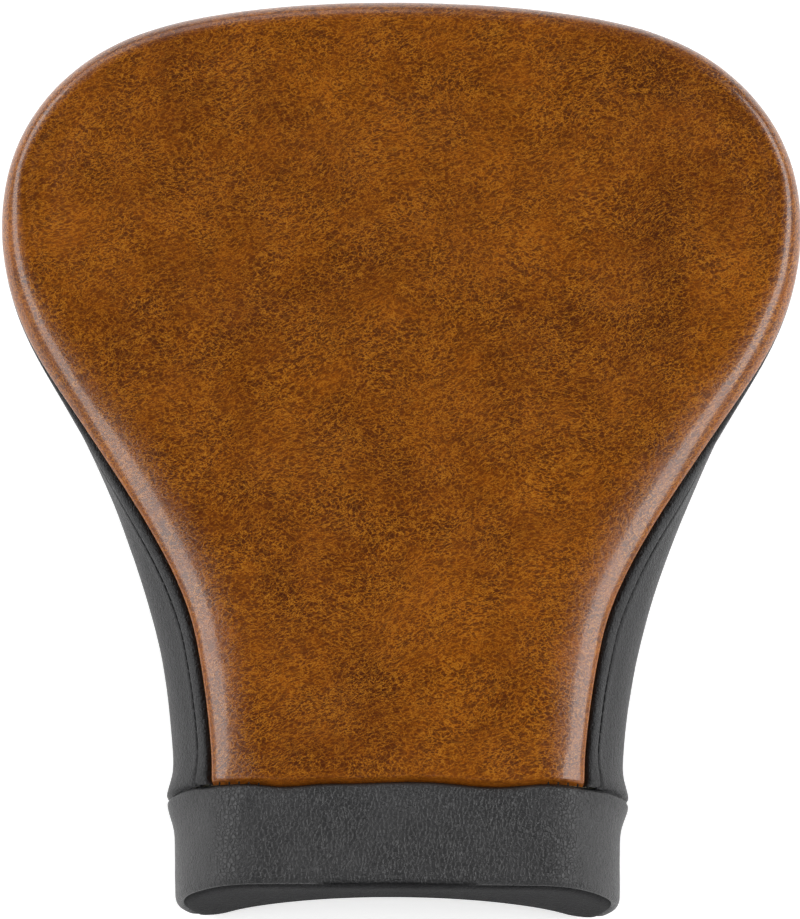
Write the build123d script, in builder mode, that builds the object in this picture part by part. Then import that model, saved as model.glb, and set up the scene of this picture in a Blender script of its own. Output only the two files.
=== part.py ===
"""Solo saddle for a cruiser motorcycle, modelled piece by piece in millimetres.

+Z is up, +Y points to the back of the saddle and the nose points to -Y. The origin is on the plane that
the rubber rail pads stand on, under the middle of the saddle's bounding box.
"""

import os
from math import cos, radians, sin, sqrt, tan

from build123d import *

# ---------------------------------------------------------------- driving dimensions
# Plan outline of the saddle at its widest level, right half, from ahead of the nose to the middle of the back.
NOSE_Y, BACK_Y = -228.0, 199.5
SIDE_OUTLINE = [
    (105, -250),
    (105, -215),
    (106, -180),
    (109, -140),
    (120, -83),
    (138, -35),
    (161, 7),
    (183, 49),
    (191, 97),
    (180, 137),
    (147, 172),
    (80, 194),
    (0, BACK_Y),
]
# The sides bulge: an outline stands out by BULGE at its widest level, and less above and below it.
NOSE_BULGE, NOSE_BULGE_Z, NOSE_BULGE_RATE = 0.3, 28.0, 0.0108
BACK_BULGE, BACK_BULGE_Z, BACK_BULGE_RATE = 0.0, 92.0, 0.00257
BLEND_FROM_Y, BLEND_LENGTH = -110.0, 150.0  # where the nose's bulge turns into the back's
WAIST_FILL = 17.0  # keeps the waist full where the two bulges blend
NOSE_SLANT = 0.037  # how far the nose face leans back, per mm of height

# Top surface: station, height in the middle, and how much higher it is at CROWN_HALF_WIDTH to either side.
CROWN_STATIONS = [
    (-260, 76, -9),
    (-190, 80, -7),
    (-120, 80, -5),
    (-60, 79, 1),
    (0, 82, 7),
    (60, 92, 11),
    (120, 110, 10),
    (165, 124, 5),
    (215, 127, 2),
]
CROWN_HALF_WIDTH = 200.0
ROLL_R = 18.0  # roll where the seat surface turns down into the sides
# Stations of the cross-sections; those from FIRST_BACK_SECTION on move in with the back wall.
SECTION_Y = [-240, -190, -140, -95, -50, -5, 40, 85, 125, 155, 175, 187, 194, 197.5, 199]
FIRST_BACK_SECTION = 9
FORM_BOTTOM_Z = -12.0
SECTION_SPACING = [5, 5, 5, 5, 2, 1.7, 2.3, 11, 9, 9]  # relative spacing of a section's points, bottom to middle
LEAST_WIDTH_SHARE = 0.35  # keeps the last sections open, as a share of their widest half width

# Underside: a flat rim with an arched tunnel that clears the frame and the rear fender.
RIM_Z = 6.0
ARCH_R = 108.0
ARCH_TOP_Z = 46.0
ARCH_CENTRE_Z = ARCH_TOP_Z - ARCH_R
ARCH_FOOT_R = 12.0

# Skins and layers, with a thin glue line between neighbours.
COVER_T = 1.6
GLUE = 0.3
HEM_W = 16.0
PAN_T = 3.5
PAN_WALL_T, PAN_WALL_H = 3.0, 12.0
COMFORT_T = 6.0
GEL_DEPTH, GEL_T = 16.0, 8.0
GEL_SIZE_X, GEL_SIZE_Y, GEL_Y, GEL_CORNER_R = 200.0, 150.0, 60.0, 50.0
NOSE_SEAM_Y = -177.0
# Height of the seam between the leather top and the sides, from the nose seam to the back.
SIDE_SEAM = [(NOSE_SEAM_Y, 70), (-120, 68), (-70, 67), (-20, 69), (60, 83), (130, 94), (210, 98)]

# Size of the cutting solids, which reach past the saddle on every side.
SPAN, LOW, HIGH = 300.0, -20.0, 220.0

# Rivets, and the clearance of a hole round its shank and of a pocket in the foam round its tail.
RIVET_R, RIVET_HEAD_R, RIVET_HEAD_T = 2.4, 4.8, 1.6
RIVET_TAIL_R, RIVET_TAIL_T = 3.9, 2.6
WASHER_R, WASHER_T = 6.5, 1.0
HOLE_CLEARANCE, POCKET_CLEARANCE = 0.1, 0.8

# Rubber rail pads, two rivets each: place on the right side, and turn in plan.
RAIL_PAD_L, RAIL_PAD_W, RAIL_RIVET_GAP = 36.0, 18.0, 16.0
RAIL_PADS = [(104, -5, -26), (130, 118, 14)]
RAIL_PAD_SEAT_Z = 4.6  # the rivet heads bear on the rubber at this level
PAD_RECESS_R, PAD_EDGE_R = 6.0, 1.0

# Round tunnel pads on the slopes of the arch, one rivet each.
TUNNEL_PAD_R, TUNNEL_PAD_T, TUNNEL_PAD_ANGLE = 12.0, 8.0, 24.0
TUNNEL_PAD_Y = (-70.0, 95.0)
TUNNEL_SEAT_DEPTH = 3.4

# Flat bosses moulded into the pan, which the brackets fasten to.
BOSS_W, BOSS_BOTTOM_Z, BOSS_TOP_Z = 51.0, 44.5, ARCH_TOP_Z + COVER_T + GLUE + PAN_T
FRONT_BOSS_Y, FRONT_BOSS_L = -170.0, 56.0
BACK_BOSS_Y, BACK_BOSS_L = 140.5, 45.0
BOSS_CORNER_R = 6.0

# Front bracket: a plate with a slotted tongue that slides under the tank bracket.
STEEL_T = 3.0
BRACKET_W, BRACKET_BEND_R = 48.0, 6.0
TONGUE_DROP, TONGUE_TIP_Y = 13.0, -219.0
TONGUE_BENDS_Y = (-194.0, -204.0)
TONGUE_SLOT_W, TONGUE_SLOT_L = 11.0, 12.0
FRONT_RIVETS_X, FRONT_RIVETS_Y = 32.0, 28.0

# Back tab: a steel strap, bent down to follow the fender.
TAB_W, TAB_CORNER_R = 34.0, 14.0
TAB_START_Y, TAB_BEND_Y, TAB_TILT = 121.0, 168.0, 12.0
TAB_END_Y = -NOSE_Y - STEEL_T / 2 * sin(radians(TAB_TILT))  # the tab ends where the bounding box does
TAB_SCREW_Y, TAB_HOLE_R = 213.5, 4.2
TAB_BOLT_GAP = 26.0
BOLT_R, BOLT_HEAD_R, BOLT_HEAD_T = 3.0, 5.3, 3.3
BOLT_SOCKET_AF, BOLT_SOCKET_DEPTH, BOLT_STICKOUT = 4.0, 1.9, 1.2
NUT_PLATE_W, NUT_PLATE_L, NUT_PLATE_T, NUT_PLATE_CORNER_R = 26.0, 44.0, 2.0, 5.0
NUT_FLANGE_R, NUT_FLANGE_T, NUT_AF, NUT_T = 6.7, 1.4, 10.0, 7.0

# Captive fender screw (1/4 inch) with a knurled head. It turns in a nylon bush pressed into the tab, and a
# washer under its head turns with neither of them but rises and falls with the screw.
SCREW_R, SCREW_THREAD_L, SCREW_TIP_CHAMFER = 3.175, 12.0, 0.8
SCREW_NECK_R, RUNNING_GAP = 2.6, 0.05
SCREW_HEAD_R, SCREW_HEAD_T, SCREW_HEAD_CHAMFER = 10.0, 8.0, 0.9
SCREW_COLLAR_R, SCREW_COLLAR_T = 6.5, 1.5
SCREW_SLOT_W, SCREW_SLOT_DEPTH = 1.8, 1.8
KNURL_COUNT, KNURL_R = 40, 0.5
BUSH_FLANGE_R, BUSH_FLANGE_T = 7.0, 1.5
SCREW_WASHER_R, SCREW_WASHER_T = 8.5, 1.2
SCREW_LIFT, SCREW_STOP_GAP = 4.8, 0.2  # travel of the captive screw, and what is left before its shoulder stops it

# Staples that hold the cover's hem under the pan.
STAPLE_W, STAPLE_LEG, STAPLE_WIRE_W, STAPLE_WIRE_T = 10.0, 4.6, 1.2, 0.7
STAPLE_INSET, STAPLE_GAP = 8.0, 15.0
STAPLE_FREE_X = (68.0, 92.0)  # no staples round the feet of the arch
STAPLE_TAB_X = 28.0  # nor above the back tab

DRAIN_HOLES = [(48, -110), (48, 30)]
DRAIN_R = 4.0

NOSE_SEAM_PLANE = Plane.XZ.offset(-NOSE_SEAM_Y)  # its normal points to the nose
TILT = radians(TAB_TILT)
TAB_MID_Z = BOSS_BOTTOM_Z - STEEL_T / 2
# The screw's own plane: on the tab's middle layer, with its normal along the screw, towards the head.
SCREW_PLANE = Plane(
    origin=(0, TAB_SCREW_Y, TAB_MID_Z - (TAB_SCREW_Y - TAB_BEND_Y) * tan(TILT)),
    x_dir=(1, 0, 0),
    z_dir=(0, sin(TILT), cos(TILT)),
)


# ---------------------------------------------------------------- shared shapes
OUTLINE = Edge.make_spline([Vector(x, y) for x, y in SIDE_OUTLINE], tangents=[Vector(0, 1), Vector(-1, 0)])
OUTLINE_STEPS = [(OUTLINE @ (i / 200), OUTLINE % (i / 200)) for i in range(201)]
SPACING_TOTAL = 2 * sum(SECTION_SPACING)
SPACING_BOTH_SIDES = SECTION_SPACING + SECTION_SPACING[::-1]
SECTION_STEPS = [sum(SPACING_BOTH_SIDES[:i]) / SPACING_TOTAL for i in range(len(SPACING_BOTH_SIDES) + 1)]
CROWN_MIDDLE = Edge.make_spline([Vector(y, middle) for y, middle, lift in CROWN_STATIONS])
CROWN_LIFT = Edge.make_spline([Vector(y, lift) for y, middle, lift in CROWN_STATIONS])


def smoothstep(t):
    t = min(max(t, 0.0), 1.0)
    return t * t * (3 - 2 * t)


def bulge(y, z):
    """How far the outline at height z stands out from SIDE_OUTLINE."""
    nose = NOSE_BULGE - NOSE_BULGE_RATE * (z - NOSE_BULGE_Z) ** 2
    back = BACK_BULGE - BACK_BULGE_RATE * (z - BACK_BULGE_Z) ** 2
    share = smoothstep((y - BLEND_FROM_Y) / BLEND_LENGTH)
    return nose * (1 - share) + back * share + WAIST_FILL * share * (1 - share)


def outline_at(z, inset):
    """Right half of the outline at height z, moved in by inset, as close-set (x, y) points."""
    points = []
    for point, run in OUTLINE_STEPS:
        out = bulge(point.Y, z) - inset
        points.append((point.X + run.Y * out, point.Y - run.X * out))
    return points


def half_width(y, z, inset):
    """Half width of the saddle at one station and height, or 0 behind its back."""
    points = outline_at(z, inset)
    for (x_before, y_before), (x_after, y_after) in zip(points, points[1:]):
        if y_after >= y > y_before:
            return x_before + (x_after - x_before) * (y - y_before) / (y_after - y_before)
    return 0.0


def read_curve(curve, y):
    """Height of a curve drawn over y, by halving the interval that holds y."""
    low, high = 0.0, 1.0
    for _ in range(30):
        middle = (low + high) / 2
        if (curve @ middle).X < y:
            low = middle
        else:
            high = middle
    return (curve @ low).Y


def cross_section(y, inset):
    """Points of one cross-section, from its right bottom corner over the top to its left one."""
    back, roll = BACK_Y - inset, ROLL_R - inset
    past_roll = max(y - (back - roll), 0.0)
    drop = roll - sqrt(max(roll**2 - past_roll**2, 0.0))
    middle = read_curve(CROWN_MIDDLE, y) - inset - drop
    lift = read_curve(CROWN_LIFT, y)
    # The back wall tucks under, so that the last sections don't reach the bottom.
    tuck_z = BACK_BULGE_Z - sqrt(max(back - y, 0.0) / BACK_BULGE_RATE)
    bottom = max(FORM_BOTTOM_Z, tuck_z + 8) if tuck_z > FORM_BOTTOM_Z - 8 else FORM_BOTTOM_Z
    edge_z = middle + lift * (half_width(y, BACK_BULGE_Z, inset) / CROWN_HALF_WIDTH) ** 2
    shoulder = edge_z - roll + drop * 0.6
    least = LEAST_WIDTH_SHARE * half_width(y, BACK_BULGE_Z, inset)
    points = []
    for share in (0, 0.25, 0.5, 0.75, 1):
        z = bottom + share * (shoulder - bottom)
        points.append((max(half_width(y, z, inset), least), z))
    wide, rise = points[-1][0], edge_z - shoulder
    run = min(rise, wide / 2)
    for inward, upward in ((0.09, 0.42), (0.32, 0.75), (0.75, 0.96)):
        points.append((wide - run * inward, shoulder + rise * upward))
    for share in (0.62, 0.32):
        x = (wide - run) * share
        points.append((x, middle + lift * (x / CROWN_HALF_WIDTH) ** 2))
    return points + [(0, middle)] + [(-x, z) for x, z in reversed(points)]


def seat_form(inset):
    """The whole saddle as one solid with every wall moved in by inset, running on ahead of the nose."""
    with BuildPart() as form:
        for i, station in enumerate(SECTION_Y):
            y = station - inset if i >= FIRST_BACK_SECTION else station
            points = cross_section(y, inset)
            with BuildSketch(Plane.XZ.offset(-y)):
                with BuildLine():
                    add(Edge.make_spline([Vector(*point) for point in points], parameters=SECTION_STEPS))
                    Line(points[-1], points[0])
                make_face()
        loft()
        add(nose_slab(inset), mode=Mode.SUBTRACT)
    return form.part


def underside(depth):
    """Everything below the underside moved up by depth: a flat rim with the arched tunnel between its feet."""
    rim = RIM_Z + depth
    foot_x = sqrt((ARCH_R + depth) ** 2 - (rim - ARCH_CENTRE_Z) ** 2)
    with BuildPart() as below:
        with BuildSketch(Plane.XZ):
            with BuildLine():
                ThreePointArc((-foot_x, rim), (0, ARCH_TOP_Z + depth), (foot_x, rim))
                Polyline((foot_x, rim), (SPAN, rim), (SPAN, LOW), (-SPAN, LOW), (-SPAN, rim), (-foot_x, rim))
            make_face()
            feet = vertices().filter_by(lambda v: abs(abs(v.X) - foot_x) < 1)
            fillet(feet, max(ARCH_FOOT_R - depth, 2.0))
        extrude(amount=SPAN, both=True)
    return below.part


def rim_line(inset):
    """Right half of the rim's outline moved in by inset, from ahead of the nose to the middle of the back."""
    points = [Vector(x, y) for x, y in outline_at(RIM_Z, inset)]
    return Edge.make_spline(points[::20], tangents=[Vector(0, 1), Vector(-1, 0)])


def rim_outline_block(inset, top):
    """A flat-topped block inside the rim's outline, moved in by inset."""
    line = rim_line(inset)
    with BuildPart() as block:
        with BuildSketch(Plane.XY.offset(LOW)):
            with BuildLine():
                add(line)
                Line(line @ 0, (0, (line @ 0).Y))
                mirror(about=Plane.YZ)
            make_face()
        extrude(amount=top - LOW)
        add(nose_slab(inset), mode=Mode.SUBTRACT)
    return block.part


def seam_zone(z_limit, x_from, x_to):
    """Everything between the side seam and z_limit, behind the nose seam, half a glue line clear of both."""
    clear = GLUE / 2 if z_limit > RIM_Z else -GLUE / 2
    with BuildPart() as zone:
        with BuildSketch(Plane.YZ.offset(x_from)):
            with BuildLine():
                seam = Spline(*[(y, z + clear) for y, z in SIDE_SEAM])
                Polyline(seam @ 1, (SIDE_SEAM[-1][0], z_limit), ((seam @ 0).X, z_limit), seam @ 0)
            make_face()
        extrude(amount=x_to - x_from)
    return zone.part


def nose_slab(depth):
    """Everything in front of the nose face, once that is moved back by depth."""
    with BuildPart() as slab:
        with BuildSketch(Plane.YZ):
            with BuildLine():
                low = (NOSE_Y + NOSE_SLANT * (LOW - RIM_Z) + depth, LOW)
                high = (NOSE_Y + NOSE_SLANT * (HIGH - RIM_Z) + depth, HIGH)
                Polyline(low, high, (-SPAN, HIGH), (-SPAN, LOW), low)
            make_face()
        extrude(amount=SPAN, both=True)
    return slab.part


def arch_plane(angle, y, radius):
    """Plane on a point of the arch, with its normal pointing up into the saddle."""
    a = radians(angle)
    return Plane(
        origin=(radius * sin(a), y, ARCH_CENTRE_Z + radius * cos(a)),
        x_dir=(cos(a), 0, -sin(a)),
        z_dir=(sin(a), 0, cos(a)),
    )


def rivet(grip):
    """Rivet whose domed head bears on z = 0 from below and whose tail bears on z = grip."""
    with BuildPart() as part:
        with BuildSketch(Plane.XZ):
            with BuildLine():
                dome = ThreePointArc(
                    (0, -RIVET_HEAD_T), (RIVET_HEAD_R * 0.62, -RIVET_HEAD_T * 0.72), (RIVET_HEAD_R, -0.3)
                )
                Polyline(
                    dome @ 1,
                    (RIVET_HEAD_R, 0),
                    (RIVET_R, 0),
                    (RIVET_R, grip),
                    (RIVET_TAIL_R, grip),
                    (RIVET_TAIL_R, grip + RIVET_TAIL_T - 0.6),
                    (RIVET_TAIL_R - 0.6, grip + RIVET_TAIL_T),
                    (0, grip + RIVET_TAIL_T),
                    dome @ 0,
                )
            make_face()
        revolve(axis=Axis.Z)
    return part.part


def ring(outer_r, inner_r, height):
    """Flat ring standing on z = 0."""
    with BuildPart() as part:
        with BuildSketch():
            Circle(outer_r)
            Circle(inner_r, mode=Mode.SUBTRACT)
        extrude(amount=height)
    return part.part


def pin(radius, height):
    """Plain cylinder standing on z = 0."""
    with BuildPart() as part:
        Cylinder(radius, height, align=(Align.CENTER, Align.CENTER, Align.MIN))
    return part.part


def button_head():
    """Button head with a hexagon socket, bearing on z = 0 from below."""
    with BuildPart() as part:
        with BuildSketch(Plane.XZ):
            with BuildLine():
                dome = ThreePointArc(
                    (BOLT_HEAD_R * 0.45, -BOLT_HEAD_T), (BOLT_HEAD_R * 0.82, -BOLT_HEAD_T * 0.72), (BOLT_HEAD_R, -0.5)
                )
                Polyline(dome @ 1, (BOLT_HEAD_R, 0), (0, 0), (0, -BOLT_HEAD_T), dome @ 0)
            make_face()
        revolve(axis=Axis.Z)
        with BuildSketch(Plane.XY.offset(-BOLT_HEAD_T)):
            RegularPolygon(BOLT_SOCKET_AF / 2, 6, major_radius=False)
        extrude(amount=BOLT_SOCKET_DEPTH, mode=Mode.SUBTRACT)
    return part.part


def flange_nut():
    """Flanged hexagon nut standing on z = 0."""
    with BuildPart() as part:
        with BuildSketch():
            RegularPolygon(NUT_AF / 2, 6, major_radius=False)
        extrude(amount=NUT_T)
        add(pin(NUT_FLANGE_R, NUT_FLANGE_T))
        add(pin(BOLT_R, NUT_T), mode=Mode.SUBTRACT)
    return part.part


def knurled_head():
    """Knurled and slotted screw head standing on z = 0."""
    with BuildPart() as part:
        Cylinder(SCREW_HEAD_R, SCREW_HEAD_T, align=(Align.CENTER, Align.CENTER, Align.MIN))
        chamfer(part.edges().filter_by(GeomType.CIRCLE), SCREW_HEAD_CHAMFER)
        with PolarLocations(SCREW_HEAD_R, KNURL_COUNT):
            add(pin(KNURL_R, SCREW_HEAD_T), mode=Mode.SUBTRACT)
        with Locations((0, 0, SCREW_HEAD_T)):
            Box(3 * SCREW_HEAD_R, SCREW_SLOT_W, 2 * SCREW_SLOT_DEPTH, mode=Mode.SUBTRACT)
    return part.part


def staple():
    """Staple with its crown's upper side on z = 0 and its legs pointing up."""
    with BuildPart() as part:
        with Locations((0, 0, -STAPLE_WIRE_T)):
            Box(STAPLE_W, STAPLE_WIRE_W, STAPLE_WIRE_T, align=(Align.CENTER, Align.CENTER, Align.MIN))
        with Locations((STAPLE_WIRE_T / 2 - STAPLE_W / 2, 0, 0), (STAPLE_W / 2 - STAPLE_WIRE_T / 2, 0, 0)):
            Box(STAPLE_WIRE_T, STAPLE_WIRE_W, STAPLE_LEG, align=(Align.CENTER, Align.CENTER, Align.MIN))
    return part.part


def staple_planes():
    """Places of the staples along the hem, on the flat rim and on the two ends of the arch."""
    side = rim_line(STAPLE_INSET)
    nose_y = NOSE_Y + STAPLE_INSET
    side_count = int(side.length / STAPLE_GAP)
    spots = [(side @ ((i + 0.5) / side_count), side % ((i + 0.5) / side_count)) for i in range(side_count)]
    spots = [(p, t) for p, t in spots if p.Y > nose_y + STAPLE_INSET]
    spots += [(Vector(-p.X, p.Y), Vector(-t.X, t.Y)) for p, t in spots]
    nose_count = int(STAPLE_FREE_X[0] / STAPLE_GAP)
    spots += [(Vector(i * STAPLE_GAP, nose_y), Vector(1, 0)) for i in range(-nose_count, nose_count + 1)]
    planes = []
    for spot, run in spots:
        x = abs(spot.X)
        if STAPLE_FREE_X[0] < x < STAPLE_FREE_X[1] or (x < STAPLE_TAB_X and spot.Y > 0):
            continue
        if x > STAPLE_FREE_X[1]:
            planes.append(Plane(origin=(spot.X, spot.Y, RIM_Z), x_dir=run, z_dir=(0, 0, 1)))
            continue
        normal = Vector(spot.X, 0, sqrt(ARCH_R**2 - x**2)).normalized()
        along = run - normal * run.dot(normal)
        origin = (spot.X, spot.Y, ARCH_CENTRE_Z + sqrt(ARCH_R**2 - x**2))
        planes.append(Plane(origin=origin, x_dir=along, z_dir=normal))
    return planes


# ---------------------------------------------------------------- shared solids
OUTER = seat_form(0)
INNER = seat_form(COVER_T)
TOP_ZONE = seam_zone(HIGH, -SPAN, SPAN)

with BuildPart() as cover_body:
    add(OUTER)
    add(underside(0), mode=Mode.SUBTRACT)

with BuildPart() as interior:
    add(INNER)
    add(underside(COVER_T), mode=Mode.SUBTRACT)

with BuildPart() as hem_opening:
    add(rim_outline_block(HEM_W, ARCH_TOP_Z + COVER_T + 1))

with BuildPart() as bosses:
    with BuildSketch(Plane.XY.offset(BOSS_BOTTOM_Z)):
        with Locations((0, FRONT_BOSS_Y)):
            RectangleRounded(BOSS_W, FRONT_BOSS_L, BOSS_CORNER_R)
        with Locations((0, BACK_BOSS_Y)):
            RectangleRounded(BOSS_W, BACK_BOSS_L, BOSS_CORNER_R)
    extrude(amount=BOSS_TOP_Z - BOSS_BOTTOM_Z)

# Places of the fasteners. Each plane lies where a rivet's head bears and points up along its shank.
FRONT_RIVET_PLANES = [
    Plane(origin=(x, FRONT_BOSS_Y + y, BOSS_BOTTOM_Z - STEEL_T))
    for x in (-FRONT_RIVETS_X / 2, FRONT_RIVETS_X / 2)
    for y in (-FRONT_RIVETS_Y / 2, FRONT_RIVETS_Y / 2)
]
FRONT_GRIP = STEEL_T + BOSS_TOP_Z - BOSS_BOTTOM_Z + WASHER_T
PAN_BOTTOM_Z = RIM_Z + COVER_T + GLUE
RAIL_PAD_PLANES = [
    Plane(origin=(side * x, y, 0), x_dir=(side * sin(radians(-turn)), cos(radians(turn)), 0), z_dir=(0, 0, 1))
    for x, y, turn in RAIL_PADS
    for side in (-1, 1)
]
RAIL_RIVET_PLANES = [
    Plane(origin=pad.from_local_coords((along, 0, RAIL_PAD_SEAT_Z)))
    for pad in RAIL_PAD_PLANES
    for along in (-RAIL_RIVET_GAP / 2, RAIL_RIVET_GAP / 2)
]
RAIL_GRIP = PAN_BOTTOM_Z + PAN_T + WASHER_T - RAIL_PAD_SEAT_Z
PAN_ARCH_R = ARCH_R + COVER_T + GLUE
TUNNEL_SPOTS = [(angle, y) for angle in (-TUNNEL_PAD_ANGLE, TUNNEL_PAD_ANGLE) for y in TUNNEL_PAD_Y]
TUNNEL_RIVET_PLANES = [arch_plane(angle, y, PAN_ARCH_R - TUNNEL_SEAT_DEPTH) for angle, y in TUNNEL_SPOTS]
TUNNEL_WASHER_LIFT = 0.15  # the washer stands on the crown of the curved pan
TUNNEL_GRIP = TUNNEL_SEAT_DEPTH + PAN_T + TUNNEL_WASHER_LIFT + WASHER_T
TAB_BOLT_PLANES = [
    Plane(origin=(0, BACK_BOSS_Y + y, BOSS_BOTTOM_Z - STEEL_T)) for y in (-TAB_BOLT_GAP / 2, TAB_BOLT_GAP / 2)
]
BOLT_GRIP = STEEL_T + BOSS_TOP_Z - BOSS_BOTTOM_Z + NUT_PLATE_T

# ---------------------------------------------------------------- the cover, panel by panel
os.makedirs("parts", exist_ok=True)

with BuildPart() as top_panel:
    add(OUTER)
    add(TOP_ZONE, mode=Mode.INTERSECT)
    add(INNER, mode=Mode.SUBTRACT)
top_panel.part.label = "top_panel"
export_step(top_panel.part, "parts/top_panel.step")

with BuildPart() as side_panel_right:
    add(cover_body.part)
    add(seam_zone(LOW, 0, SPAN), mode=Mode.INTERSECT)
    add(interior.part, mode=Mode.SUBTRACT)
    add(hem_opening.part, mode=Mode.SUBTRACT)
side_panel_right.part.label = "side_panel_right"
export_step(side_panel_right.part, "parts/side_panel_right.step")

with BuildPart() as side_panel_left:
    add(side_panel_right.part.mirror(Plane.YZ))
side_panel_left.part.label = "side_panel_left"
export_step(side_panel_left.part, "parts/side_panel_left.step")

with BuildPart() as nose_block:
    with Locations((0, NOSE_SEAM_Y - GLUE / 2, LOW)):
        Box(2 * SPAN, SPAN, HIGH - LOW, align=(Align.CENTER, Align.MAX, Align.MIN))

with BuildPart() as nose_panel:
    add(cover_body.part)
    add(nose_block.part, mode=Mode.INTERSECT)
    add(interior.part, mode=Mode.SUBTRACT)
    add(hem_opening.part, mode=Mode.SUBTRACT)
    add(nose_slab(COVER_T), mode=Mode.SUBTRACT)
nose_panel.part.label = "nose_panel"
export_step(nose_panel.part, "parts/nose_panel.step")

with BuildPart() as nose_end_panel:
    add(cover_body.part)
    add(nose_slab(COVER_T - GLUE), mode=Mode.INTERSECT)
nose_end_panel.part.label = "nose_end_panel"
export_step(nose_end_panel.part, "parts/nose_end_panel.step")

# ---------------------------------------------------------------- the base pan
FILLING = seat_form(COVER_T + GLUE)
PAN_BOTTOM_DEPTH = COVER_T + GLUE

with BuildPart() as pan_wall:
    add(FILLING)
    add(seat_form(PAN_BOTTOM_DEPTH + PAN_WALL_T), mode=Mode.SUBTRACT)
    add(underside(PAN_BOTTOM_DEPTH + PAN_T + PAN_WALL_H), mode=Mode.INTERSECT)

with BuildPart() as pan_shell:
    add(FILLING)
    add(underside(PAN_BOTTOM_DEPTH + PAN_T), mode=Mode.INTERSECT)
    add(pan_wall.part)
    add(underside(PAN_BOTTOM_DEPTH), mode=Mode.SUBTRACT)
    add(bosses.part)

with BuildPart() as base_pan:
    add(pan_shell.part)
    with Locations(*FRONT_RIVET_PLANES, *RAIL_RIVET_PLANES, *TUNNEL_RIVET_PLANES):
        add(pin(RIVET_R + HOLE_CLEARANCE, 4 * PAN_T), mode=Mode.SUBTRACT)
    with Locations(*TAB_BOLT_PLANES):
        add(pin(BOLT_R + HOLE_CLEARANCE, 4 * PAN_T), mode=Mode.SUBTRACT)
    with Locations(*[(side * x, y, LOW) for x, y in DRAIN_HOLES for side in (-1, 1)]):
        add(pin(DRAIN_R, BOSS_TOP_Z - LOW), mode=Mode.SUBTRACT)
base_pan.part.label = "base_pan"
export_step(base_pan.part, "parts/base_pan.step")

# ---------------------------------------------------------------- foam, gel and comfort layer
LINING = seat_form(COVER_T + GLUE + COMFORT_T)

with BuildPart() as comfort_layer:
    add(FILLING)
    add(TOP_ZONE, mode=Mode.INTERSECT)
    add(LINING, mode=Mode.SUBTRACT)
comfort_layer.part.label = "comfort_layer"
export_step(comfort_layer.part, "parts/comfort_layer.step")

with BuildPart() as gel_pad:
    # A slab that follows the seat surface lengthwise, with its corners rounded in plan.
    with BuildSketch(Plane.YZ):
        with BuildLine():
            gel_y = [GEL_Y + GEL_SIZE_Y * share for share in (-0.5, -0.17, 0.17, 0.5)]
            gel_top = [(y, read_curve(CROWN_MIDDLE, y) - GEL_DEPTH) for y in gel_y]
            upper = Spline(*gel_top)
            lower = Spline(*[(y, z - GEL_T) for y, z in gel_top])
            Line(upper @ 0, lower @ 0)
            Line(upper @ 1, lower @ 1)
        make_face()
    extrude(amount=GEL_SIZE_X, both=True)
    with BuildSketch(Plane.XY):
        with Locations((0, GEL_Y)):
            RectangleRounded(GEL_SIZE_X, GEL_SIZE_Y - 1, GEL_CORNER_R)
    extrude(amount=HIGH, mode=Mode.INTERSECT)
gel_pad.part.label = "gel_pad"
export_step(gel_pad.part, "parts/gel_pad.step")

with BuildPart() as padded_core:
    add(seat_form(COVER_T + 2 * GLUE + COMFORT_T))
    with Locations((0, 0, -3 * GLUE)):
        add(TOP_ZONE, mode=Mode.INTERSECT)

with BuildPart() as foam_pockets:
    with Locations(*FRONT_RIVET_PLANES):
        add(pin(WASHER_R + POCKET_CLEARANCE, FRONT_GRIP + RIVET_TAIL_T + POCKET_CLEARANCE))
    with Locations(*RAIL_RIVET_PLANES):
        add(pin(WASHER_R + POCKET_CLEARANCE, RAIL_GRIP + RIVET_TAIL_T + POCKET_CLEARANCE))
    with Locations(*TUNNEL_RIVET_PLANES):
        add(pin(WASHER_R + POCKET_CLEARANCE, TUNNEL_GRIP + RIVET_TAIL_T + POCKET_CLEARANCE))
    with Locations(*TAB_BOLT_PLANES):
        add(pin(NUT_FLANGE_R + POCKET_CLEARANCE, BOLT_GRIP + NUT_T + BOLT_STICKOUT + POCKET_CLEARANCE))
    with BuildSketch(Plane.XY.offset(BOSS_TOP_Z)):
        with Locations((0, BACK_BOSS_Y)):
            RectangleRounded(
                NUT_PLATE_W + 2 * POCKET_CLEARANCE, NUT_PLATE_L + 2 * POCKET_CLEARANCE, NUT_PLATE_CORNER_R
            )
    extrude(amount=NUT_PLATE_T + POCKET_CLEARANCE)

with BuildPart() as foam_core:
    add(FILLING)
    with Locations((0, 0, -GLUE)):
        add(TOP_ZONE, mode=Mode.SUBTRACT)
    add(padded_core.part)
    add(gel_pad.part, mode=Mode.SUBTRACT)
    add(underside(PAN_BOTTOM_DEPTH + PAN_T), mode=Mode.SUBTRACT)
    add(pan_wall.part, mode=Mode.SUBTRACT)
    add(bosses.part, mode=Mode.SUBTRACT)
    add(foam_pockets.part, mode=Mode.SUBTRACT)
foam_core.part.label = "foam_core"
export_step(foam_core.part, "parts/foam_core.step")

# ---------------------------------------------------------------- front bracket
PLATE_MID_Z = BOSS_BOTTOM_Z - STEEL_T / 2
TONGUE_MID_Z = PLATE_MID_Z - TONGUE_DROP

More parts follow.
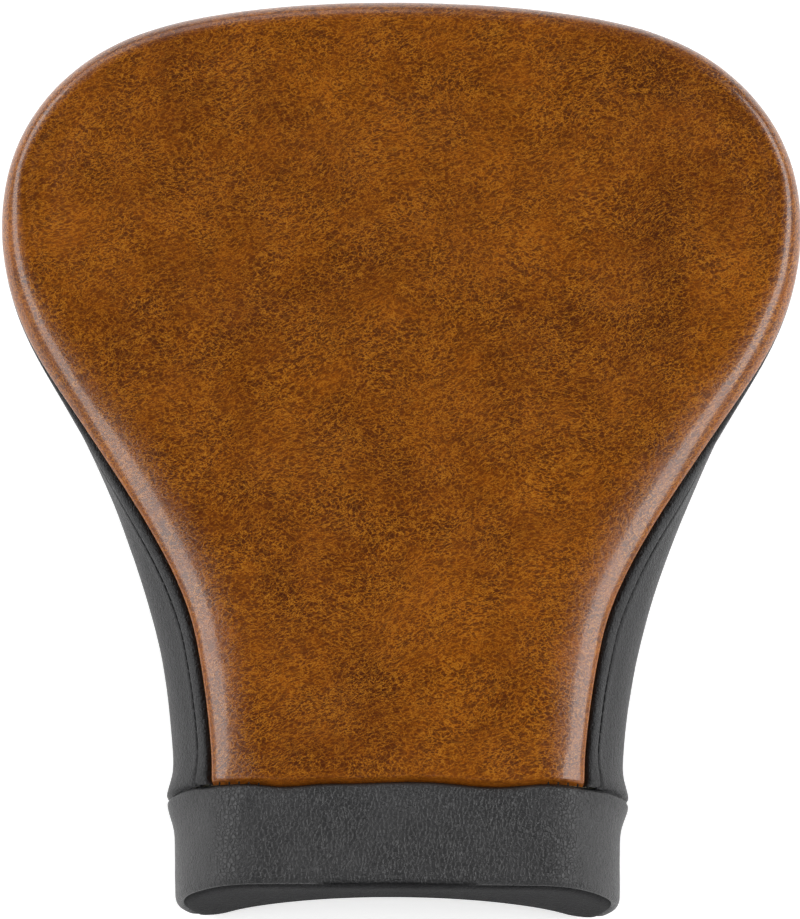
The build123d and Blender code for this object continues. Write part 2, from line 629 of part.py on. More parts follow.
with BuildPart() as front_bracket:
    with BuildSketch(Plane.YZ):
        with BuildLine() as bracket_line:
            FilletPolyline(
                (FRONT_BOSS_Y + FRONT_BOSS_L / 2 - 2, PLATE_MID_Z),
                (TONGUE_BENDS_Y[0], PLATE_MID_Z),
                (TONGUE_BENDS_Y[1], TONGUE_MID_Z),
                (TONGUE_TIP_Y, TONGUE_MID_Z),
                radius=BRACKET_BEND_R,
            )
        trace(bracket_line.line, line_width=STEEL_T)
    extrude(amount=BRACKET_W / 2, both=True)
    # The tongue's corners are rounded, and its slot is open at the tip.
    fillet(front_bracket.edges().filter_by(Axis.Z), BOSS_CORNER_R)
    with Locations((0, TONGUE_TIP_Y, 0)):
        Box(TONGUE_SLOT_W, 2 * (TONGUE_SLOT_L - TONGUE_SLOT_W / 2), 2 * BOSS_TOP_Z, mode=Mode.SUBTRACT)
    with Locations((0, TONGUE_TIP_Y + TONGUE_SLOT_L - TONGUE_SLOT_W / 2, 0)):
        Cylinder(TONGUE_SLOT_W / 2, 2 * BOSS_TOP_Z, mode=Mode.SUBTRACT)
    with Locations(*FRONT_RIVET_PLANES):
        add(pin(RIVET_R + HOLE_CLEARANCE, STEEL_T), mode=Mode.SUBTRACT)
front_bracket.part.label = "front_bracket"
export_step(front_bracket.part, "parts/front_bracket.step")

with BuildPart() as front_bracket_rivets:
    with Locations(*FRONT_RIVET_PLANES):
        add(rivet(FRONT_GRIP))
front_bracket_rivets.part.label = "front_bracket_rivets"
export_step(front_bracket_rivets.part, "parts/front_bracket_rivets.step")

with BuildPart() as front_rivet_washers:
    with Locations(*[plane.offset(FRONT_GRIP - WASHER_T) for plane in FRONT_RIVET_PLANES]):
        add(ring(WASHER_R, RIVET_R + HOLE_CLEARANCE, WASHER_T))
front_rivet_washers.part.label = "front_rivet_washers"
export_step(front_rivet_washers.part, "parts/front_rivet_washers.step")

# ---------------------------------------------------------------- back tab, its bolts and nuts
with BuildPart() as rear_tab:
    with BuildSketch(Plane.YZ):
        with BuildLine() as tab_line:
            tab_end_z = TAB_MID_Z - (TAB_END_Y - TAB_BEND_Y) * tan(TILT)
            FilletPolyline(
                (TAB_START_Y, TAB_MID_Z), (TAB_BEND_Y, TAB_MID_Z), (TAB_END_Y, tab_end_z), radius=4 * BRACKET_BEND_R
            )
        trace(tab_line.line, line_width=STEEL_T)
    extrude(amount=TAB_W / 2, both=True)
    fillet(rear_tab.edges().filter_by(Axis((0, 0, 0), SCREW_PLANE.z_dir)), TAB_CORNER_R)
    fillet(rear_tab.edges().filter_by(Axis.Z), BOSS_CORNER_R)
    with Locations(SCREW_PLANE.offset(-STEEL_T)):
        add(pin(TAB_HOLE_R, 2 * STEEL_T), mode=Mode.SUBTRACT)
    with Locations(*TAB_BOLT_PLANES):
        add(pin(BOLT_R + HOLE_CLEARANCE, STEEL_T), mode=Mode.SUBTRACT)
rear_tab.part.label = "rear_tab"
export_step(rear_tab.part, "parts/rear_tab.step")

with BuildPart() as rear_tab_bolts:
    with Locations(*TAB_BOLT_PLANES):
        add(pin(BOLT_R, BOLT_GRIP + NUT_T + BOLT_STICKOUT))
        add(button_head())
rear_tab_bolts.part.label = "rear_tab_bolts"
export_step(rear_tab_bolts.part, "parts/rear_tab_bolts.step")

with BuildPart() as rear_nut_plate:
    with BuildSketch(Plane.XY.offset(BOSS_TOP_Z)):
        with Locations((0, BACK_BOSS_Y)):
            RectangleRounded(NUT_PLATE_W, NUT_PLATE_L, NUT_PLATE_CORNER_R)
        with Locations(*[(plane.origin.X, plane.origin.Y) for plane in TAB_BOLT_PLANES]):
            Circle(BOLT_R + HOLE_CLEARANCE, mode=Mode.SUBTRACT)
    extrude(amount=NUT_PLATE_T)
rear_nut_plate.part.label = "rear_nut_plate"
export_step(rear_nut_plate.part, "parts/rear_nut_plate.step")

with BuildPart() as rear_tab_nuts:
    with Locations(*[plane.offset(BOLT_GRIP) for plane in TAB_BOLT_PLANES]):
        add(flange_nut())
rear_tab_nuts.part.label = "rear_tab_nuts"
export_step(rear_tab_nuts.part, "parts/rear_tab_nuts.step")

# ---------------------------------------------------------------- captive fender screw
TAB_TOP = SCREW_PLANE.offset(STEEL_T / 2)
BUSH_BOTTOM = SCREW_PLANE.offset(-STEEL_T / 2 - BUSH_FLANGE_T)

with BuildPart() as screw_bush:
    with Locations(BUSH_BOTTOM):
        add(ring(BUSH_FLANGE_R, SCREW_NECK_R + RUNNING_GAP, BUSH_FLANGE_T))
        add(ring(TAB_HOLE_R, SCREW_NECK_R + RUNNING_GAP, BUSH_FLANGE_T + STEEL_T))
screw_bush.part.label = "screw_bush"
export_step(screw_bush.part, "parts/screw_bush.step")

with BuildPart() as screw_washer:
    with Locations(TAB_TOP):
        add(ring(SCREW_WASHER_R, SCREW_NECK_R + RUNNING_GAP, SCREW_WASHER_T))
screw_washer.part.label = "screw_washer"
export_step(screw_washer.part, "parts/screw_washer.step")

with BuildPart() as upright_screw:
    # Drawn upright with z = 0 under the washer, from the thread's tip to the knurled head.
    neck_l = STEEL_T + BUSH_FLANGE_T + SCREW_LIFT + SCREW_STOP_GAP
    with Locations((0, 0, -neck_l - SCREW_THREAD_L)):
        Cylinder(SCREW_R, SCREW_THREAD_L, align=(Align.CENTER, Align.CENTER, Align.MIN))
    chamfer(upright_screw.edges().sort_by(Axis.Z)[0], SCREW_TIP_CHAMFER)
    with Locations((0, 0, -neck_l)):
        add(pin(SCREW_NECK_R, neck_l + SCREW_WASHER_T))
    with Locations((0, 0, SCREW_WASHER_T)):
        add(pin(SCREW_COLLAR_R, SCREW_COLLAR_T))
    with Locations((0, 0, SCREW_WASHER_T + SCREW_COLLAR_T)):
        add(knurled_head())
with BuildPart() as fender_screw:
    with Locations(TAB_TOP):
        add(upright_screw.part)
fender_screw.part.label = "fender_screw"
export_step(fender_screw.part, "parts/fender_screw.step")

# ---------------------------------------------------------------- rubber pads and their rivets
with BuildPart() as upright_rail_pad:
    with BuildSketch():
        SlotOverall(RAIL_PAD_L, RAIL_PAD_W)
    extrude(amount=PAN_BOTTOM_Z)
    fillet(upright_rail_pad.edges().group_by(Axis.Z)[0], PAD_EDGE_R)
    with Locations((-RAIL_RIVET_GAP / 2, 0, 0), (RAIL_RIVET_GAP / 2, 0, 0)):
        add(pin(PAD_RECESS_R, RAIL_PAD_SEAT_Z), mode=Mode.SUBTRACT)
        add(pin(RIVET_R + HOLE_CLEARANCE, PAN_BOTTOM_Z), mode=Mode.SUBTRACT)

with BuildPart() as rail_pads:
    with Locations(*RAIL_PAD_PLANES):
        add(upright_rail_pad.part)
rail_pads.part.label = "rail_pads"
export_step(rail_pads.part, "parts/rail_pads.step")

with BuildPart() as rail_pad_rivets:
    with Locations(*RAIL_RIVET_PLANES):
        add(rivet(RAIL_GRIP))
rail_pad_rivets.part.label = "rail_pad_rivets"
export_step(rail_pad_rivets.part, "parts/rail_pad_rivets.step")

with BuildPart() as rail_rivet_washers:
    with Locations(*[plane.offset(RAIL_GRIP - WASHER_T) for plane in RAIL_RIVET_PLANES]):
        add(ring(WASHER_R, RIVET_R + HOLE_CLEARANCE, WASHER_T))
rail_rivet_washers.part.label = "rail_rivet_washers"
export_step(rail_rivet_washers.part, "parts/rail_rivet_washers.step")

with BuildPart() as upright_tunnel_pad:
    # Drawn with z = 0 on its free end; its other end is hollowed to sit on the curved pan.
    Cylinder(TUNNEL_PAD_R, TUNNEL_PAD_T + PAN_T, align=(Align.CENTER, Align.CENTER, Align.MIN))
    fillet(upright_tunnel_pad.edges().group_by(Axis.Z)[0], PAD_EDGE_R)
    with Locations(Location((0, 0, TUNNEL_PAD_T - PAN_ARCH_R), (90, 0, 0))):
        Cylinder(PAN_ARCH_R, 4 * TUNNEL_PAD_R, mode=Mode.INTERSECT)
    add(pin(PAD_RECESS_R, TUNNEL_PAD_T - TUNNEL_SEAT_DEPTH), mode=Mode.SUBTRACT)
    add(pin(RIVET_R + HOLE_CLEARANCE, TUNNEL_PAD_T), mode=Mode.SUBTRACT)

with BuildPart() as tunnel_pads:
    with Locations(*[arch_plane(angle, y, PAN_ARCH_R - TUNNEL_PAD_T) for angle, y in TUNNEL_SPOTS]):
        add(upright_tunnel_pad.part)
tunnel_pads.part.label = "tunnel_pads"
export_step(tunnel_pads.part, "parts/tunnel_pads.step")

with BuildPart() as tunnel_pad_rivets:
    with Locations(*TUNNEL_RIVET_PLANES):
        add(rivet(TUNNEL_GRIP))
tunnel_pad_rivets.part.label = "tunnel_pad_rivets"
export_step(tunnel_pad_rivets.part, "parts/tunnel_pad_rivets.step")

with BuildPart() as tunnel_rivet_washers:
    with Locations(*[plane.offset(TUNNEL_GRIP - WASHER_T) for plane in TUNNEL_RIVET_PLANES]):
        add(ring(WASHER_R, RIVET_R + HOLE_CLEARANCE, WASHER_T))
tunnel_rivet_washers.part.label = "tunnel_rivet_washers"
export_step(tunnel_rivet_washers.part, "parts/tunnel_rivet_washers.step")

# ---------------------------------------------------------------- staples
with BuildPart() as cover_staples:
    with Locations(*staple_planes()):
        add(staple())
cover_staples.part.label = "cover_staples"
export_step(cover_staples.part, "parts/cover_staples.step")
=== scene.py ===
"""Looks of the solo saddle: leather top, vinyl sides and nose, and materials for the hardware underneath.

Shapes are worked out in millimetres, in the frame of the CAD, and become metres in make_mesh.
"""

import math

import bpy
import numpy as np
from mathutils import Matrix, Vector, noise


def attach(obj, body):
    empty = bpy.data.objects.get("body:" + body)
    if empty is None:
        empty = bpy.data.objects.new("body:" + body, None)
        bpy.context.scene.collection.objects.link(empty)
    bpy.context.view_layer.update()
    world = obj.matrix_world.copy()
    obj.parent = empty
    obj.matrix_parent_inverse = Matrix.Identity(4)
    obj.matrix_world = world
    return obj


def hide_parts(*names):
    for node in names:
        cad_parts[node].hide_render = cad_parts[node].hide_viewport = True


MM = 0.001

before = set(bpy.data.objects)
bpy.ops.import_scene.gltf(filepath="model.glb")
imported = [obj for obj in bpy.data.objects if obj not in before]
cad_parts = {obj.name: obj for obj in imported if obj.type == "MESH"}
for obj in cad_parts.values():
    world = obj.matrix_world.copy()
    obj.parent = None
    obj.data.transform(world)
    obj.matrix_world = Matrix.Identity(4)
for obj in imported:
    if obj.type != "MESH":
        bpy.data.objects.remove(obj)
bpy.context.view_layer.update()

# ---------------------------------------------------------------- the saddle's shape, as part.py has it
NOSE_Y, BACK_Y = -228.0, 199.5
SIDE_OUTLINE = [
    (105, -250), (105, -215), (106, -180), (109, -140), (120, -83), (138, -35), (161, 7),
    (183, 49), (191, 97), (180, 137), (147, 172), (80, 194), (0, BACK_Y),
]
CROWN = [
    (-260, 76, -9), (-190, 80, -7), (-120, 80, -5), (-60, 79, 1), (0, 82, 7),
    (60, 92, 11), (120, 110, 10), (165, 124, 5), (215, 127, 2),
]
SIDE_SEAM = [(-177, 70), (-120, 68), (-70, 67), (-20, 69), (60, 83), (130, 94), (210, 98)]
NOSE_SEAM_Y = -177.0
NOSE_SLANT = 0.037  # how far the nose face leans back, per mm of height
CROWN_HALF_WIDTH = 200.0
NOSE_BULGE, NOSE_BULGE_Z, NOSE_BULGE_RATE = 0.3, 28.0, 0.0108
BACK_BULGE_Z, BACK_BULGE_RATE = 92.0, 0.00257
BLEND_FROM_Y, BLEND_TO_Y, WAIST_FILL = -110.0, 40.0, 17.0
RIM_Z, ARCH_R, ARCH_CENTRE_Z = 6.0, 108.0, -62.0
FOOT_R, FOOT_INNER_X, FOOT_OUTER_X = 12.0, 80.5, 89.44  # the rounded foot between the arch and the rim
HEM_W = 16.0


def solve_spline(knots, values, at, start=None, end=None):
    """Cubic spline through values at knots. Without a start or end slope it is natural there."""
    knots, values, at = (np.asarray(a, float) for a in (knots, values, at))
    flat = values.ndim == 1
    values = values[:, None] if flat else values
    n, h = len(knots), np.diff(knots)
    system, right = np.zeros((n, n)), np.zeros((n, values.shape[1]))
    for i in range(1, n - 1):
        system[i, i - 1 : i + 2] = h[i - 1], 2 * (h[i - 1] + h[i]), h[i]
        right[i] = 6 * ((values[i + 1] - values[i]) / h[i] - (values[i] - values[i - 1]) / h[i - 1])
    system[0, 0] = system[-1, -1] = 1
    if start is not None:
        system[0, :2] = 2 * h[0], h[0]
        right[0] = 6 * ((values[1] - values[0]) / h[0] - np.asarray(start))
    if end is not None:
        system[-1, -2:] = h[-1], 2 * h[-1]
        right[-1] = 6 * (np.asarray(end) - (values[-1] - values[-2]) / h[-1])
    bend = np.linalg.solve(system, right)
    i = np.clip(np.searchsorted(knots, at, side="right") - 1, 0, n - 2)
    a, b = (knots[i + 1] - at)[:, None], (at - knots[i])[:, None]
    w = h[i][:, None]
    out = (bend[i] * a**3 + bend[i + 1] * b**3) / (6 * w)
    out += (values[i] / w - bend[i] * w / 6) * a + (values[i + 1] / w - bend[i + 1] * w / 6) * b
    return out[:, 0] if flat else out


def smoothstep(low, high, x):
    t = np.clip((np.asarray(x, float) - low) / (high - low), 0, 1)
    return t * t * (3 - 2 * t)


outline_knots = np.array(SIDE_OUTLINE, float)
chords = np.concatenate([[0], np.cumsum(np.hypot(*np.diff(outline_knots, axis=0).T))])
OUTLINE_T = np.linspace(0, chords[-1], 3001)
OUTLINE = solve_spline(chords, outline_knots, OUTLINE_T, start=(0, 1), end=(-1, 0))
RUN = np.gradient(OUTLINE, axis=0)
RUN /= np.hypot(*RUN.T)[:, None]
OUTWARD = np.stack([RUN[:, 1], -RUN[:, 0]], axis=1)
LENGTH = np.concatenate([[0], np.cumsum(np.hypot(*np.diff(OUTLINE, axis=0).T))])
crown_y = [row[0] for row in CROWN]


def crown_middle(y):
    return solve_spline(crown_y, [row[1] for row in CROWN], np.ravel(y)).reshape(np.shape(y))


def crown_lift(y):
    return solve_spline(crown_y, [row[2] for row in CROWN], np.ravel(y)).reshape(np.shape(y))


def seat_z(x, y):
    """Height of the seat surface, before its rolled edge."""
    return crown_middle(y) + crown_lift(y) * (np.abs(x) / CROWN_HALF_WIDTH) ** 2


def seam_z(y):
    """Height of the seam between leather and vinyl."""
    seam_y, heights = zip(*SIDE_SEAM)
    return solve_spline(seam_y, heights, np.ravel(np.clip(y, -240, 210)))


def bulge(y, z):
    """How far the wall stands out of the outline at height z."""
    share = smoothstep(BLEND_FROM_Y, BLEND_TO_Y, y)
    nose = NOSE_BULGE - NOSE_BULGE_RATE * (z - NOSE_BULGE_Z) ** 2
    back = -BACK_BULGE_RATE * (z - BACK_BULGE_Z) ** 2
    return nose * (1 - share) + back * share + WAIST_FILL * share * (1 - share)


def under_z(x):
    """Height of the underside: the flat rim, the rounded foot of the arch, and the arch."""
    x = np.abs(x)
    arch = ARCH_CENTRE_Z + np.sqrt(np.maximum(ARCH_R**2 - x**2, 0))
    foot = RIM_Z + FOOT_R - np.sqrt(np.maximum(FOOT_R**2 - (x - FOOT_OUTER_X) ** 2, 0))
    return np.where(x < FOOT_INNER_X, arch, np.where(x < FOOT_OUTER_X, foot, RIM_Z))


def fbm(x, y, z, size, octaves=3, seed=0.0):
    """Smooth noise in -1..1 with features of about size mm, one value per point."""
    x, y, z = np.broadcast_arrays(x, y, z)
    out = np.empty(x.size)
    for i, (a, b, c) in enumerate(zip(x.ravel(), y.ravel(), z.ravel())):
        out[i] = noise.fractal(Vector((a / size + seed, b / size - seed, c / size)), 1.0, 2.0, octaves)
    return out.reshape(x.shape)


# ---------------------------------------------------------------- profiles up the side
# Place along y, width and height of the rolled edge.
ROLL = [
    (-250, 32, 19), (-120, 36, 20), (-50, 36, 21), (-5, 31, 19), (33, 21, 16),
    (63, 14, 13), (113, 9, 11), (160, 12, 13), (200, 14, 14),
]
ROLL_FULLNESS = 0.56  # how far the roll's curve runs on before it turns, as a share of its size
CREST_SET_BACK = 8  # the seat's height is taken this far inside the roll
N_WALL_POINTS, N_ROLL_POINTS = 80, 60


def profile(point, outward):
    """Side profile from the rim to the roll's crest: points (outward, up) and the length along them."""
    x, y = point
    roll_y, widths, heights = zip(*ROLL)
    roll_w, roll_h = float(np.interp(y, roll_y, widths)), float(np.interp(y, roll_y, heights))
    crest_x, crest_y = point - outward * (roll_w + CREST_SET_BACK)
    top = float(seat_z(crest_x, np.array([crest_y]))[0])
    shoulder = top - roll_h
    bottom = RIM_Z
    for _ in range(8):  # settles on where the wall meets the underside
        bottom = float(under_z(x + outward[0] * bulge(y, bottom)))
    z_wall = np.linspace(bottom, shoulder, N_WALL_POINTS)
    o_wall = bulge(y, z_wall)
    slope = float(bulge(y, shoulder + 0.5) - bulge(y, shoulder - 0.5))
    a = np.array([o_wall[-1], shoulder])
    c = np.array([o_wall[-1] - roll_w, top])
    p1 = a + ROLL_FULLNESS * roll_h * np.array([slope, 1.0]) / math.hypot(slope, 1.0)
    p2 = c + ROLL_FULLNESS * roll_w * np.array([1.0, 0.0])
    t = np.linspace(0, 1, N_ROLL_POINTS + 1)[1:, None]
    arc = a * (1 - t) ** 3 + 3 * p1 * t * (1 - t) ** 2 + 3 * p2 * t**2 * (1 - t) + c * t**3
    oz = np.concatenate([np.stack([o_wall, z_wall], axis=1), arc])
    along = np.concatenate([[0], np.cumsum(np.hypot(*np.diff(oz, axis=0).T))])
    return oz, along


def at_length(oz, along, want):
    """Positions and outward normals in the profile's own plane at the wanted lengths."""
    reach = 0.4
    o, z = (np.interp(want, along, oz[:, k]) for k in (0, 1))
    do = np.interp(want + reach, along, oz[:, 0]) - np.interp(want - reach, along, oz[:, 0])
    dz = np.interp(want + reach, along, oz[:, 1]) - np.interp(want - reach, along, oz[:, 1])
    size = np.maximum(np.hypot(do, dz), 1e-6)
    return np.stack([o, z], axis=1), np.stack([dz / size, -do / size], axis=1)


def place(point, outward, oz):
    """Points of a profile's plane in the saddle's frame."""
    return np.stack([point[0] + outward[0] * oz[:, 0], point[1] + outward[1] * oz[:, 0], oz[:, 1]], axis=1)


def make_mesh(name, verts, faces, **attributes):
    """A smooth object from points in mm, with any named values per point."""
    mesh = bpy.data.meshes.new(name)
    corners = [tuple(int(i) for i in face) for face in faces]
    mesh.from_pydata([tuple(v) for v in np.asarray(verts) * MM], [], corners)
    for key, values in attributes.items():
        layer = mesh.attributes.new(key, "FLOAT", "POINT")
        layer.data.foreach_set("value", np.asarray(values, np.float32).ravel())
    mesh.validate()
    mesh.update()
    mesh.shade_smooth()
    obj = bpy.data.objects.new(name, mesh)
    bpy.context.scene.collection.objects.link(obj)
    return obj


def grid_faces(rows, columns, start=0, flip=False):
    faces = []
    for i in range(rows - 1):
        for j in range(columns - 1):
            a = start + i * columns + j
            quad = (a, a + 1, a + columns + 1, a + columns)
            faces.append(quad[::-1] if flip else quad)
    return faces


def subdivide(obj):
    mod = obj.modifiers.new("subdivision", "SUBSURF")
    mod.levels = mod.render_levels = 1
    return obj


FAR = 99.0  # a distance past every effect of a seam
UP_SIDE = slice(0, 2800)  # the part of the outline where y still grows
TURN = int(np.argmax(OUTWARD[:, 1] > 0.66))  # where the side turns into the back
SEAM_LEAD = np.array([0.0, 0.5, 1.1, 1.9, 2.9, 4.2, 5.8])  # close steps beside the nose seam
SQUARED_LENGTH = 30


def seat_columns(start_y, side_count, back_count):
    """Outline points and outward directions, left to right by the back, and how many run up one side."""
    start = float(np.interp(start_y, OUTLINE[UP_SIDE, 1], LENGTH[UP_SIDE]))
    half = np.concatenate([
        np.linspace(start, LENGTH[TURN], side_count + 1),
        np.linspace(LENGTH[TURN], LENGTH[-1], back_count + 1)[1:],
    ])
    half = np.concatenate([start + SEAM_LEAD, half[half > start + SEAM_LEAD[-1] + 1.7]])
    up_side = int(np.sum(half <= LENGTH[TURN] + 1e-6)) - 1
    points = np.stack([np.interp(half, LENGTH, OUTLINE[:, k]) for k in (0, 1)], axis=1)
    outs = np.stack([np.interp(half, LENGTH, OUTWARD[:, k]) for k in (0, 1)], axis=1)
    outs[-1] = (0, 1)
    # The front ends are cut square across, so the directions there are square too.
    outs[:, 1] *= smoothstep(0, SQUARED_LENGTH, half - start)
    outs /= np.hypot(*outs.T)[:, None]
    mirror = np.array([-1.0, 1.0])
    points = np.concatenate([points * mirror, points[-2::-1]])
    outs = np.concatenate([outs * mirror, outs[-2::-1]])
    return points, outs, up_side


def seam_lengths(points, profiles):
    """Length up each profile at which the leather's seam runs."""
    return np.array([
        np.interp(seam_z(np.array([p[1]]))[0], oz[:, 1], along) for p, (oz, along) in zip(points, profiles)
    ])


def fill_loop(loop, up_side):
    """Grid of x, y points inside a loop of left side, back and right side, cut straight across the front."""
    across_count = len(loop) - 1 - 2 * up_side
    left = loop[: up_side + 1]
    back = loop[up_side : up_side + across_count + 1]
    right = loop[up_side + across_count :][::-1]
    u = np.linspace(0, 1, across_count + 1)[:, None]
    front = (1 - u) * left[0] + u * right[0]
    # Rows are spread by the side lengths, so that they meet the loop's own points.
    v = np.concatenate([[0], np.cumsum(np.hypot(*np.diff(left, axis=0).T))])
    v /= v[-1]
    rows = []
    for i, t in enumerate(v):
        across = (1 - u) * left[i] + u * right[i]
        lengthwise = (1 - t) * front + t * back
        corners = (1 - u) * ((1 - t) * left[0] + t * left[-1]) + u * ((1 - t) * right[0] + t * right[-1])
        rows.append(across + lengthwise - corners)
    grid = np.array(rows)
    # Evens out the cells by the back corners, where the loop runs straight on.
    for _ in range(80):
        near = (grid[:-2, 1:-1] + grid[2:, 1:-1] + grid[1:-1, :-2] + grid[1:-1, 2:]) / 4
        share = smoothstep(90, 150, grid[1:-1, 1:-1, 1])[..., None]
        grid[1:-1, 1:-1] += share * (near - grid[1:-1, 1:-1])
    return grid


def fill_index(column, count, up_side):
    """Index in the filled grid of the loop's point number column."""
    width = count - 2 * up_side
    if column <= up_side:
        return column * width
    if column <= count - 1 - up_side:
        return up_side * width + column - up_side
    return (count - 1 - column) * width + width - 1


POINTS, OUTS, N_SIDE = seat_columns(NOSE_SEAM_Y, 150, 78)
PROFILES = [profile(p, o) for p, o in zip(POINTS, OUTS)]
SEAM_LENGTH = seam_lengths(POINTS, PROFILES)
columns = len(POINTS)


SEAM_TUCK = 3.4  # how deep the skins dive into the nose seam
DIP_LEFT_X, DIP_RIGHT_X = -53, 47  # where the leather puffs over the nose seam


def hump(x, centre, width):
    """A smooth hump of height 1."""
    return np.exp(-(((x - centre) / width) ** 2))


def nose_seam_shift(x):
    """The nose seam wanders where the leather puffs over it."""
    x = np.asarray(x, float)
    dips = 2.0 * hump(x, DIP_LEFT_X, 13) + 2.4 * hump(x, DIP_RIGHT_X, 20)
    return -dips + 0.5 * np.sin(x / 31.0) + 0.25 * np.sin(x / 9.0 + 1.0)


def puff(distance, height, width, tuck):
    """Offset of a skin that swells beside a seam and dives into it."""
    d = np.maximum(distance, 0)
    return height * (d / width) * np.exp(1 - d / width) - tuck * np.exp(-(d**2))


def nose_seam_swell(distance):
    """Both skins stand out where they meet at the sides, with a narrow nick in between."""
    return 3.9 * hump(distance, 0, 10.0) - 2.4 * hump(distance, 0, 1.0)


# ---------------------------------------------------------------- leather top
LEATHER_STEPS = np.array([0.0, 0.5, 1.1, 1.9, 2.9, 4.1, 5.6])  # close steps beside the side seam
N_ROLL = 24
VALLEY_DEPTH, VALLEY_AT = 1.3, 10
CREST_FADE = 14

# The strip runs from the side seam over the roll to its crest.
strip = []
for p, o, (oz, along), seam in zip(POINTS, OUTS, PROFILES, SEAM_LENGTH):
    rest = np.linspace(seam + LEATHER_STEPS[-1], along[-1], N_ROLL - len(LEATHER_STEPS) + 1)[1:]
    lengths = np.concatenate([seam + LEATHER_STEPS, rest])
    pos, nor = at_length(oz, along, lengths)
    out = puff(lengths - seam, 0.9, 3.5, 2.6)
    strip.append(place(p, o, pos + nor * out[:, None]))
strip = np.array(strip)
crest = strip[:, -1, :].copy()

# The patch fills the top inside the crest.
loop = crest[:, :2]
patch = fill_loop(loop, N_SIDE)
px, py = patch[..., 0], patch[..., 1]
flat = patch.reshape(-1, 2)
gaps = np.hypot(flat[:, None, 0] - loop[None, :, 0], flat[:, None, 1] - loop[None, :, 1])
nearest = gaps.argmin(axis=1)
to_crest = gaps.min(axis=1).reshape(px.shape)
crest_lift = (crest[nearest, 2] - seat_z(loop[nearest, 0], loop[nearest, 1])).reshape(px.shape)
# The roll's crest stands a little proud at the back, with a shallow valley inside it.
pz = seat_z(px, py) + crest_lift * np.exp(-((to_crest / CREST_FADE) ** 2))
valley = (to_crest / VALLEY_AT) ** 2 * np.exp(2 - 2 * to_crest / VALLEY_AT)
pz -= smoothstep(20, 110, py) * VALLEY_DEPTH * valley

patch_count = px.size
below = strip[:, :-1, :]
rows_below = below.shape[1]


def leather_ring(column):
    """Indices up one column of the strip, ending in the patch."""
    start = patch_count + column * rows_below
    return [*range(start, start + rows_below), fill_index(column, columns, N_SIDE)]


verts = np.concatenate([np.stack([px, py, pz], axis=-1).reshape(-1, 3), below.reshape(-1, 3)])
faces = grid_faces(*px.shape)
for j in range(columns - 1):
    ring_a, ring_b = leather_ring(j), leather_ring(j + 1)
    faces += [(ring_a[i], ring_a[i + 1], ring_b[i + 1], ring_b[i]) for i in range(rows_below)]
smooth_top = verts.copy()

# Front edge: the leather swells towards the nose seam and dives into it.
vx, vy, vz = verts.T
ahead = vy - NOSE_SEAM_Y
edge_share = np.exp(-ahead / 14.0)
top_share = smoothstep(58, 76, vz)
verts[:, 1] += nose_seam_shift(vx) * edge_share * top_share
pinch = 1 + 0.9 * hump(vx, DIP_LEFT_X, 16) + 1.1 * hump(vx, DIP_RIGHT_X, 24) + 0.25 * np.sin(vx / 11.0)
swell = puff(ahead, 0.9, 5.0, 0.0) * pinch - SEAM_TUCK * np.exp(-(ahead**2))
verts[:, 2] += swell * top_share
side_share = (1 - top_share) * np.sign(vx)
verts[:, 0] += nose_seam_swell(ahead) * side_share
# Slack and stretch of the hide.
soft = fbm(vx, vy, vz * 0.5, 70, 2, 3.1) * 0.9 + fbm(vx, vy, vz * 0.5, 26, 2, 9.7) * 0.28
fade = smoothstep(0, 18, ahead) * 0.8 + 0.2
verts[:, 2] += soft * fade * smoothstep(64, 84, vz) * 0.9
# Pull lines run into the nose seam.
pull_lines = 0.35 * np.sin(vx / 3.4 + 1.4 * np.sin(vx / 17.0)) * np.exp(-ahead / 7.0)
verts[:, 2] += pull_lines * top_share * (ahead > 1.5)


def steps_from_seam(steps, row_length, row_count):
    """Distance from the seam of every point in rows that start with the given steps."""
    return np.tile(np.concatenate([steps, np.full(row_length - len(steps), FAR)]), row_count)


seam_edge = np.concatenate([np.full(patch_count, FAR), steps_from_seam(LEATHER_STEPS, rows_below, columns)])
seam_edge = np.minimum(seam_edge, np.abs(ahead))
leather_top = subdivide(make_mesh("leather_top", verts, faces, edge=np.exp(-seam_edge / 2.2)))


# ---------------------------------------------------------------- foam inside the cover
def sunk_layer(name, skin, skin_faces, depth, thickness):
    """A layer that follows a skin at some depth below it."""
    obj = make_mesh(name, skin, skin_faces)
    normals = np.empty(len(skin) * 3, np.float32)
    obj.data.vertices.foreach_get("normal", normals)
    normals = normals.reshape(-1, 3)
    x, y = skin[:patch_count, 0], skin[:patch_count, 1]
    slopes = [seat_z(x + dx, y + dy) - seat_z(x - dx, y - dy) for dx, dy in ((0.5, 0), (0, 0.5))]
    upward = np.stack([-slopes[0], -slopes[1], np.ones(len(x))], axis=1)
    normals[:patch_count] = upward / np.linalg.norm(upward, axis=1)[:, None]
    sunk = (skin - depth * normals) * MM
    obj.data.vertices.foreach_set("co", sunk.astype(np.float32).ravel())
    solid = obj.modifiers.new("thickness", "SOLIDIFY")
    solid.thickness = thickness * MM
    solid.offset = -1
    return obj


COMFORT_DEPTH, COMFORT_T = 2.6, 4.6
COMFORT_FRONT = (-182, -172)  # the comfort layer's front edge, with its fall
FOAM_DEPTH, FOAM_FRONT_Y, PAN_T = 2.4, -221.0, 3.9
UNDER_COMFORT = COMFORT_DEPTH + COMFORT_T + 0.6 - FOAM_DEPTH  # how much deeper the core lies there
WALL_GAP = 3.4  # the core also clears the upright wall of the pan
clear_of_seams = [f for f in faces if seam_edge[list(f)].min() > 5]
comfort_foam = sunk_layer("comfort_foam", smooth_top, clear_of_seams, COMFORT_DEPTH, COMFORT_T)


